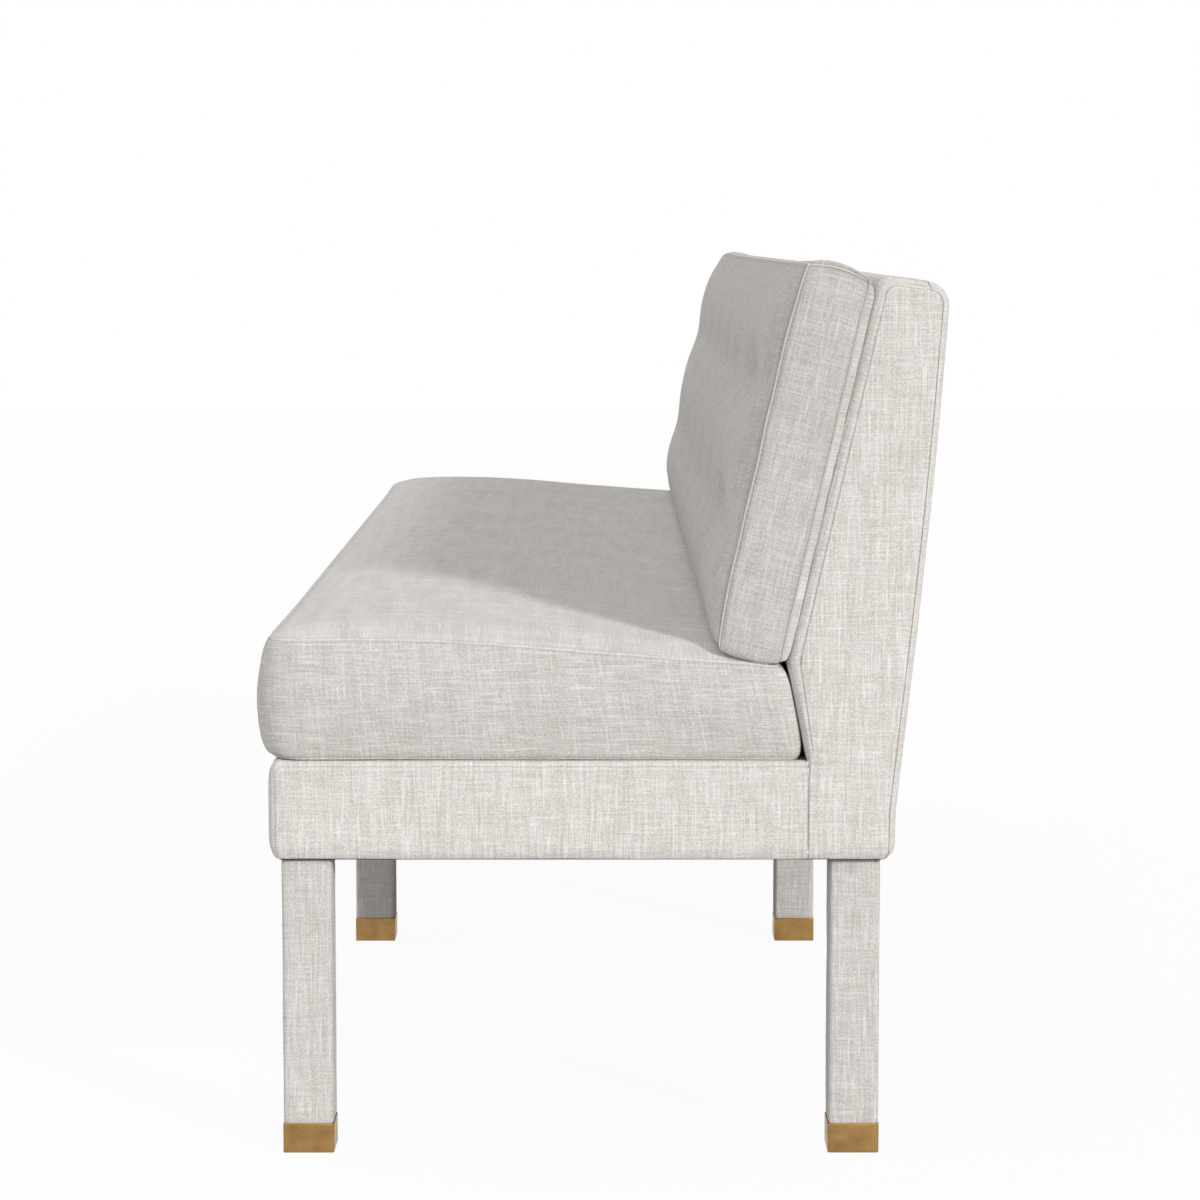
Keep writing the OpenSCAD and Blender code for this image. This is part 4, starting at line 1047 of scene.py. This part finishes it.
def turned_columns(cell, deep):
    """Columns across the bench: x, the share of the way in to the seam, and the distance to the seam."""
    a = np.radians([0, 6, 13, 22, 33, 46, 60, 75, 90])
    share, x = 1 - np.sin(a), HALF_L - deep * (1 - np.cos(a))
    share = np.concatenate([[1.05], share])
    x = np.concatenate([[HALF_L - 1.8], x])
    run = np.concatenate([[0], 0.6 + EDGE_R * a * 1.25])
    middle = np.linspace(x[-1], 0, max(3, round(HALF_L / cell)))[1:]
    x = np.concatenate([x, middle])
    share = np.concatenate([share, 0 * middle])
    run = np.concatenate([run, 20 + 0 * middle])
    mirror = slice(-2, None, -1)
    return (np.concatenate([x, -x[mirror]]), np.concatenate([share, share[mirror]]),
            np.concatenate([run, run[mirror]]))


def back_cover(name, first, last, cell, deep, replaced, material):
    """A cover from station first to station last of the back's outline, round both ends of the bench."""
    x, share, run = turned_columns(30, deep)
    levels = np.stack([back_outline(s) for s in share], 1)[first:last + 1]
    stations = refine(levels[:, len(x) // 2], cell)
    start, part = stations
    grid = levels[start] + part[:, None, None] * (levels[start + 1] - levels[start])
    to_end = np.clip(1 - (HALF_L - np.abs(x)) / 60, 0, 1)
    foot_x = x - np.sign(x) * to_end * roll(grid[..., 1] - BASE_FOOT, EDGE_R, BASE_ROLL_H)
    points = np.concatenate([foot_x[..., None], grid], -1)
    middle = grid[:, len(x) // 2]
    v = np.concatenate([[0], np.linalg.norm(np.diff(middle, axis=0), axis=1).cumsum()])
    edge_run = np.concatenate([[0], np.hypot(np.diff(x), np.diff(share) * 10).cumsum()])
    uv = np.stack(np.broadcast_arrays(edge_run[None, :], v[:, None]), -1)
    faces = grid_faces(len(v), len(x))
    flat = points.reshape(-1, 3)
    seam = np.broadcast_to(run, grid.shape[:2]).ravel()
    normal = outward(flat, faces)
    sway = (0.35 * waves(flat[:, 0], 41 + first, 540)
            + 0.25 * waves(flat[:, 2] + 0.3 * flat[:, 0], 43 + first, 260))
    flat = flat + normal * (sway * np.clip(seam / 20, 0, 1))[:, None]
    made = make_mesh(name, flat, faces, grid_corners(uv), seam, material, np.repeat(v, len(x)))
    thicken(made, CLOTH_T)
    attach(made, "frame")
    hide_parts(replaced)
    return made


last_station = len(back_outline(0)) - 1
outside_back = back_cover("outside_back", REAR_FIRST, TOP_REAR_LAST, 22, EDGE_R, "outside_back_cover",
                          frame_linen)
inside_back = back_cover("inside_back", TOP_REAR_LAST, last_station, 18, INSIDE_EDGE_DEEP,
                         "inside_back_cover", inside_linen)
print("covers of the back:", len(outside_back.data.polygons) + len(inside_back.data.polygons), "faces")

# %% [markdown]
# ## End panels of the back
#
# Each end of the back is closed by a flat panel sewn inside the covers. It is slightly pillowed and rolls
# into its seam. It is built as a thin boxed pad: rows run from its front seam to its rear seam, so that the
# rounded top corners need no poles.

# %% End panels
PANEL_CROWN, PANEL_T = 1.0, 4.0
PANEL_ROWS_MM, PANEL_COLS_MM = 585, 70
# The covers meet a little behind the front corner of the back's foot
BASE_END_Y = FOOT_Y + 1.2


def resample(points, distances):
    """Points at given distances along a line of points, measured from its start and scaled to fit."""
    run = np.concatenate([[0], np.linalg.norm(np.diff(points, axis=0), axis=1).cumsum()])
    wanted = distances / distances[-1] * run[-1]
    return np.stack([np.interp(wanted, run, points[:, k]) for k in (0, 1)], -1)


def end_panel(name, side, replaced):
    """A pillowed panel between the front and rear seam lines: x = half length + crown - roll at the rim."""
    outline = back_outline(1.0)
    rear = outline[REAR_FIRST:TOP_REAR_LAST + 1]
    front = np.concatenate([[[BASE_END_Y, BASE_LOW]], outline[:TOP_REAR_LAST:-1]])
    rows = steps(PANEL_ROWS_MM, (0, 1.2, 2.4, 4, 6, 8, 10.5, 13, 16, 20, 26), 14)
    left, right = resample(front, rows), resample(rear, rows)
    shares = steps(PANEL_COLS_MM, (0, 1.2, 2.4, 4, 6.5, 11), 9) / PANEL_COLS_MM
    plane = left[:, None] + shares[None, :, None] * (right - left)[:, None]
    width = np.linalg.norm(right - left, axis=1)[:, None]
    to_side = np.minimum(shares, 1 - shares) * width
    seam = np.minimum(to_side, (rows[-1] - rows)[:, None])
    foot = plane[..., 1] - BASE_FOOT
    x = HALF_L + PANEL_CROWN * (1 - np.exp(-seam / 14)) - roll(seam, 1.0) - roll(foot, EDGE_R, BASE_ROLL_H)
    front_side = np.concatenate([x[..., None], plane], -1)
    back_side = front_side - [PANEL_T, 0, 0]
    band = (at_border(front_side) - [PANEL_T / 2, 0, 0])[None]
    points, faces = boxed(back_side, front_side, band)
    around = band.shape[1]
    corner_uv = boxed_uv(plane, plane, np.zeros((3, around + 1, 2)))
    if side < 0:
        points, faces, corner_uv = points * [-1, 1, 1], faces[:, ::-1], corner_uv[:, ::-1]
    all_seam, along = (np.concatenate([v.ravel(), v.ravel(), np.zeros(around)])
                       for v in (seam, plane[..., 1]))
    made = make_mesh(name, points, faces, corner_uv, all_seam, frame_linen, along)
    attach(made, "frame")
    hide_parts(replaced)
    return made


panel_right = end_panel("end_panel_of_back_right", 1, "end_panel_right")
panel_left = end_panel("end_panel_of_back_left", -1, "end_panel_left")
print("end panels:", len(panel_right.data.polygons) + len(panel_left.data.polygons), "faces")

# %% [markdown]
# ## Base cover
#
# One long strip covers the front of the base and turns the two front corners to the ends of the back. On
# each end, a panel is let in: its seam runs a few millimetres below the top edge, turns down with a small
# radius at the front corner and goes down to the floor side. The seam is a groove in the strip itself,
# with grid lines laid close on either side of it.

# %% Base cover
CORNER_R = 12.0
BASE_FRONT = -BASE_OVERHANG
LET_IN_SIDE, LET_IN_TOP, LET_IN_R = 6.5, 5.0, 9.0
# How far in and over what height the front rolls, at the foot and at the top
FRONT_FOOT_ROLL, FRONT_TOP_ROLL = (11.0, 26.0), (11.0, 19.0)
FRONT_OUT, TUCK, LET_IN_GROOVE = 0.8, 4.0, 0.7
SEAM_CLOSE = np.array([-4.0, -2.4, -1.2, 0, 1.2, 2.4, 4.0])


def base_plan():
    """Stations along the base from the right end's rear seam round the front: x, y, outward normal, run."""
    end_run = BASE_END_Y - (BASE_FRONT + CORNER_R)
    turn = CORNER_R * np.pi / 2
    front_run = 2 * (HALF_L - CORNER_R)
    seam_at = end_run + CORNER_R * math.asin(1 - LET_IN_SIDE / CORNER_R)
    half = np.concatenate([[0, 0.6, 1.4, 2.4, 4], np.arange(16, end_run - 6, 15), [end_run],
                           seam_at + SEAM_CLOSE, end_run + turn * np.array([0.6, 0.7, 0.8, 0.9, 1.0]),
                           end_run + turn + np.array([5, 14])])
    half = np.unique(np.round(half, 3))
    front = end_run + turn + np.linspace(14, front_run - 14, 90)[1:-1]
    total = 2 * (end_run + turn) + front_run
    run = np.concatenate([half, front, total - half[::-1]])
    turned = np.clip((run - end_run) / turn, 0, 1) + np.clip((run - end_run - turn - front_run) / turn, 0, 1)
    angle = turned * np.pi / 2
    normal = np.stack([np.cos(angle), -np.sin(angle)], -1)
    along_front = np.clip(run - end_run - turn, 0, front_run)
    far_end = np.clip(run - end_run - 2 * turn - front_run, 0, end_run)
    centre_y = BASE_END_Y - np.minimum(run, end_run) + far_end
    centre = np.stack([HALF_L - CORNER_R - along_front, centre_y], -1)
    return centre + CORNER_R * normal, normal, run, seam_at, total


def corner_distance(p, q, r):
    """Distance of a point to a seam that runs along q = 0 and p = 0 and is rounded to r where they meet."""
    a, b = p - r, q - r
    sharp = np.minimum(p, q)
    round_part = r - np.hypot(np.minimum(a, 0), np.minimum(b, 0))
    return np.abs(np.where((a > 0) & (b > 0), sharp, round_part))


def base_cover():
    """The strip: a section that rolls over the lower and upper edge, carried along the plan. The lower edge
    rolls in by 8 mm over 18 mm of height at the ends, and by 11 over 26 along the front."""
    plan, normal, run, seam_at, total = base_plan()
    seam_z = BASE_TOP - LET_IN_TOP
    low = BASE_LOW + np.array([0, 0, 0.15, 0.6, 1.4, 2.6, 4.5, 7, 10, 14, 18, 22])
    high = BASE_TOP - np.array([12, 9.5, 6.6, 5.5, 4.5, 3.4, 2.4, 1.5, 0.8, 0.25, 0, 0])
    z = np.concatenate([low, np.linspace(low[-1], high[0], 7)[1:-1], high])
    tucked = np.zeros(len(z))
    tucked[[0, -1]] = TUCK
    facing = normal[:, 1:] ** 2
    above, below = z - BASE_FOOT, BASE_TOP - z
    come_in = (1 - facing) * roll(above, EDGE_R, BASE_ROLL_H) + facing * roll(above, *FRONT_FOOT_ROLL)
    front_top = roll(below, *FRONT_TOP_ROLL) - FRONT_OUT
    come_in = come_in + (1 - facing) * roll(below, EDGE_R) + facing * front_top + tucked
    points = np.concatenate([plan[:, None] - normal[:, None] * come_in[..., None],
                             np.broadcast_to(z[None, :, None], (len(run), len(z), 1))], -1)
    rise = np.concatenate([[0], np.hypot(np.diff(z), np.diff(come_in[0])).cumsum()])
    near_end = np.minimum(run, total - run)
    down = np.interp(seam_z, z[1:-1], rise[1:-1]) - rise
    seam = corner_distance((seam_at - near_end)[:, None], down[None, :], LET_IN_R)
    seam = np.where((near_end < seam_at + 12)[:, None], seam, NO_SEAM)
    seam = np.minimum(seam, near_end[:, None])
    faces = grid_faces(len(run), len(z))
    flat = points.reshape(-1, 3)
    out = outward(flat, faces)
    sway = 0.4 * waves(flat[:, 0] + 0.6 * flat[:, 1], 61, 480) * np.clip(seam.ravel() / 25, 0, 1)
    groove = -LET_IN_GROOVE * np.exp(-(seam.ravel() / 1.1) ** 2)
    flat = flat + out * (sway + groove)[:, None]
    uv = np.stack(np.broadcast_arrays(run[:, None], rise[None, :]), -1)
    return flat, faces, uv, seam


base_points, base_faces, base_uv, base_seam = base_cover()
base_along = np.broadcast_to(base_uv.sum(-1), base_seam.shape).ravel()
base_piece = make_mesh("base_upholstery", base_points, base_faces, grid_corners(base_uv), base_seam.ravel(),
                       frame_linen, base_along)
thicken(base_piece, CLOTH_T)
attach(base_piece, "frame")
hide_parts("base_cover")
print("base cover:", len(base_faces), "faces")

# %% [markdown]
# ## Deck cover
#
# Under the loose cushion the deck is covered with the same cloth over thin wadding, pulled tight and
# slightly pillowed towards its edges. It shows as a line under the cushion, and all over when the cushion
# is out.

# %% Deck cover
DECK_IN, DECK_T = 9, 3.5
DECK_UNDER, DECK_DIP = 0.2, 1.6


def deck_cover():
    """A thin boxed pad: its top lies 0.2 mm under the base's upper edge and dips by 1.6 more at the rim, as
    exp(-inside / 2.5)."""
    rows = steps(FOOT_Y - 1.5 - BASE_FRONT, NEAR_SEAM, 20)
    cols = steps(2 * HALF_L - 2 * DECK_IN, NEAR_SEAM, 30)
    x, y = np.meshgrid(cols - HALF_L + DECK_IN, rows + BASE_FRONT + DECK_IN)
    y = np.minimum(y, FOOT_Y - REST_GAP)
    to_side, to_front = np.minimum(cols, cols[-1] - cols), np.minimum(rows, rows[-1] - rows)
    inside = np.minimum(to_side[None, :], to_front[:, None])
    z = BASE_TOP - DECK_UNDER - DECK_DIP * np.exp(-inside / 2.5)
    top = np.stack([x, y, z], -1)
    low = np.stack([x, y, np.full_like(x, BASE_TOP - DECK_T)], -1)
    band = ((at_border(top) + at_border(low)) / 2)[None]
    points, faces = boxed(low, top, band)
    around = band.shape[1]
    uv = np.stack([x, y], -1)
    corner_uv = boxed_uv(uv, uv, np.zeros((3, around + 1, 2)))
    # The distance to the rim, 1.5 mm more, puts the painted highlight that the linen lays beside a seam just
    # inside the rim
    seam = np.concatenate([inside.ravel(), inside.ravel(), np.zeros(around)]) + 1.5
    return make_mesh("deck", points, faces, corner_uv, seam, frame_linen)


deck = deck_cover()
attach(deck, "frame")
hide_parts("deck_cover")
print("deck cover:", len(deck.data.polygons), "faces")

# %% [markdown]
# ## Legs
#
# Each leg is a square post in a sleeve of the same cloth, pulled tight, with soft corners. The sleeve
# tucks into its ferrule below and against the base above. A closed outline, a square with rounded corners,
# is carried up the leg, and Solidify gives the cloth its thickness.

# %% Leg sleeves
LEG_W, LEG_CLOTH_T = 50.5, 1.2
FERRULE_W, FERRULE_TOP, GLIDE_DROP, GLIDE_HOLE_R = 51.5, 30.4, 1.0, 14.15
LEG_NAMES = [f"{row}_{side}" for row in ("front", "rear") for side in ("right", "middle", "left")]


def square_ring(width, radius, per_corner=6, per_side=5):
    """A closed square outline of four arcs and four sides, anticlockwise, with its outward normals."""
    turn = np.linspace(0, np.pi / 2, per_corner + 1)
    core = width / 2 - radius
    angle = np.concatenate([turn + k * np.pi / 2 for k in range(4)])
    centre = core * np.repeat([(1, 1), (-1, 1), (-1, -1), (1, -1)], per_corner + 1, 0)
    normal = np.stack([np.cos(angle), np.sin(angle)], -1)
    ring = centre + radius * normal
    share = np.arange(per_side) / per_side
    ends = np.arange(4) * (per_corner + 1) + per_corner
    pieces, normals = [], []
    for k in range(4):
        a, b = ring[ends[k]], ring[(ends[k] + 1) % len(ring)]
        pieces += [ring[ends[k] - per_corner:ends[k]], a + share[:, None] * (b - a)]
        normals += [normal[ends[k] - per_corner:ends[k]], np.repeat(normal[ends[k]][None], per_side, 0)]
    return np.concatenate(pieces), np.concatenate(normals)


def leg_centre(name):
    """Middle of a leg in bench millimetres, from its CAD node."""
    low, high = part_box("leg_sleeve_" + name)
    return np.array([(low[0] + high[0]) / 2 / MM, (low[1] + high[1]) / 2 / MM - FEET_Y])


def stacked(plan, z):
    """Points of rings in plan, (levels, points, 2), each set at its height z."""
    return np.concatenate([plan, np.broadcast_to(z[:, None, None], plan.shape[:2] + (1,))], -1)


def leg_sleeve(name, seed):
    """A sleeve: the ring drawn in by up to 1.3 mm where it enters the ferrule, with a faint random
    slackness."""
    ring, normal = square_ring(LEG_W, 5.0)
    z = np.concatenate([[FERRULE_TOP - 1.5, FERRULE_TOP - 0.3, FERRULE_TOP + 0.9, FERRULE_TOP + 3],
                        np.linspace(FERRULE_TOP + 12, BASE_LOW, 24)])
    come_in = np.interp(z, [FERRULE_TOP - 1.5, FERRULE_TOP, FERRULE_TOP + 2.5], [1.3, 0.9, 0])
    around = 0.5 + 0.5 * waves(np.arange(len(ring)) * 6.0, seed + 5, 90)
    slack = 0.22 * waves(z, seed, 150)[:, None] * around
    plan = leg_centre(name) + ring[None] + normal[None] * (slack - come_in[:, None])[..., None]
    points = stacked(plan, z)
    run = length_along(points[10:11])[0]
    uv = np.stack(np.broadcast_arrays(run[None, :] + 300 * seed, z[:, None]), -1)
    faces = grid_faces(len(z), len(ring), wrap_cols=True)
    made = make_mesh("leg_sleeve_of_" + name, points.reshape(-1, 3), faces, grid_corners(uv), NO_SEAM,
                     leg_linen)
    thicken(made, LEG_CLOTH_T)
    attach(made, "frame")
    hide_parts("leg_sleeve_" + name)
    return made


sleeves = [leg_sleeve(name, 70 + k) for k, name in enumerate(LEG_NAMES)]
print("leg sleeves:", len(sleeves), "of", len(sleeves[0].data.polygons), "faces")

# %% [markdown]
# ## Ferrules
#
# A ferrule is a square brass cup pressed on the foot of the leg. What sells the metal is its edges: the lip
# and the foot are rounded, so each catches a line of light. The section of the cup, down the outside, under
# the foot to the hole for the glide, and up the inside, is carried round a square whose inner rings turn
# into circles.

# %% Ferrules
def ferrule(name):
    """A closed cup: section points as (inset, height, share of a circle) carried round the square outline."""
    ring, normal = square_ring(FERRULE_W, 2.4, 5, 4)
    low, top = GLIDE_DROP - 0.6, FERRULE_TOP
    section = np.array([
        (2.0, top - 0.5, 0), (1.6, top - 0.1, 0), (1.0, top, 0), (0.45, top - 0.12, 0),
        (0.12, top - 0.45, 0), (0, top - 1.0, 0), (0, top - 1.6, 0), (0, (low + top) / 2, 0),
        (0, low + 1.6, 0), (0.05, low + 0.9, 0), (0.2, low + 0.4, 0), (0.5, low + 0.1, 0),
        (1.2, low, 0), (3.0, low, 0), (8.0, low, 0.6), (0, low, 1),
        (0, low + 2, 1), (8.0, low + 2, 0.6), (2.6, low + 2, 0), (2.0, low + 2.6, 0)])
    circle = GLIDE_HOLE_R * ring / np.linalg.norm(ring, axis=1, keepdims=True)
    depth, z, blend = section.T
    square = ring[None] - normal[None] * depth[:, None, None]
    plan = leg_centre(name) + square * (1 - blend[:, None, None]) + circle * blend[:, None, None]
    points = stacked(plan, z)
    faces = grid_faces(len(section), len(ring), wrap_rows=True, wrap_cols=True)[:, ::-1]
    made = make_mesh("ferrule_of_" + name, points.reshape(-1, 3), faces, np.zeros((len(faces), 4, 2)),
                     NO_SEAM, brass)
    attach(made, "frame")
    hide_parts("ferrule_" + name)
    return made


ferrules = [ferrule(name) for name in LEG_NAMES]
print("ferrules:", len(ferrules), "of", len(ferrules[0].data.polygons), "faces")

# %% [markdown]
# ## Floor, light and background
#
# The studio is plain: a pale floor, a white surround, and four soft lamps. The strongest is the key, low and
# from beyond the camera's right shoulder, which throws the soft edge of the back cushion's shadow across
# the seat. Three wide fills, from the front, from the camera and from above, keep the shaded sides open.
# The world lights everything evenly. Camera, mirror and glass rays see world and floor white, by Light Path,
# so the background is clean without more light on the cloth.

# %% Floor
FLOOR_HALF, FLOOR_GLOW = 14.0, 0.95
WHITE = (1, 1, 1, 1)


def seen_directly(tree):
    """1 for rays from the camera, off a mirror or through glass, and 0 for those that light the scene."""
    path = add(tree, "ShaderNodeLightPath").outputs
    seen = add(tree, "ShaderNodeMath", {0: path["Is Camera Ray"], 1: path["Is Glossy Ray"]},
               operation="MAXIMUM").outputs[0]
    return add(tree, "ShaderNodeMath", {0: seen, 1: path["Is Transmission Ray"]},
               operation="MAXIMUM").outputs[0]


floor_corners = [(x * FLOOR_HALF, y * FLOOR_HALF, 0) for x, y in ((-1, -1), (1, -1), (1, 1), (-1, 1))]
floor_mesh = bpy.data.meshes.new("floor")
floor_mesh.from_pydata(floor_corners, [], [(0, 1, 2, 3)])
floor = bpy.data.objects.new("floor", floor_mesh)
SCENE.collection.objects.link(floor)

floor_material, tree, shader = new_material("white_studio_floor")
fill(tree, shader, {"Base Color": linear("#D6D5D3"), "Roughness": 0.8})
glow = add(tree, "ShaderNodeMath", {0: seen_directly(tree), 1: FLOOR_GLOW}, operation="MULTIPLY")
white = add(tree, "ShaderNodeEmission", {"Color": WHITE, "Strength": 1.0})
mixed = add(tree, "ShaderNodeMixShader", {0: glow.outputs[0], 1: shader.outputs["BSDF"],
                                          2: white.outputs["Emission"]})
tree.links.new(mixed.outputs["Shader"], tree.nodes["Material Output"].inputs["Surface"])
floor_mesh.materials.append(floor_material)
print("floor", 2 * FLOOR_HALF, "m square")

# %% World and lamps
WORLD_LIGHT = 0.3

world = bpy.data.worlds.new("white_surround")
SCENE.world = world
world.use_nodes = True
tree = world.node_tree
tree.nodes.clear()
light = add(tree, "ShaderNodeBackground", {"Color": linear("#FAFBFF"), "Strength": WORLD_LIGHT})
shown = add(tree, "ShaderNodeBackground", {"Color": WHITE, "Strength": 1.0})
mixed = add(tree, "ShaderNodeMixShader", {0: seen_directly(tree), 1: light.outputs[0], 2: shown.outputs[0]})
add(tree, "ShaderNodeOutputWorld", {"Surface": mixed.outputs[0]})


def soft_lamp(name, azimuth, height, disc, energy):
    """A sun lamp from an azimuth (degrees from +X towards +Y) and height, its disc so many degrees wide."""
    data = bpy.data.lights.new(name, "SUN")
    data.energy = energy
    data.angle = math.radians(disc)
    lamp = bpy.data.objects.new(name, data)
    lamp.rotation_euler = (math.radians(90 - height), 0, math.radians(90 + azimuth))
    SCENE.collection.objects.link(lamp)


soft_lamp("low_key", 37.1, 24, 8, 2.1)
soft_lamp("fill_from_the_front", -80, 55, 90, 1.15)
soft_lamp("fill_from_the_camera", 0, 8, 60, 0.35)
soft_lamp("fill_from_above", 0, 89, 110, 0.15)
print("four soft lamps and a white surround")
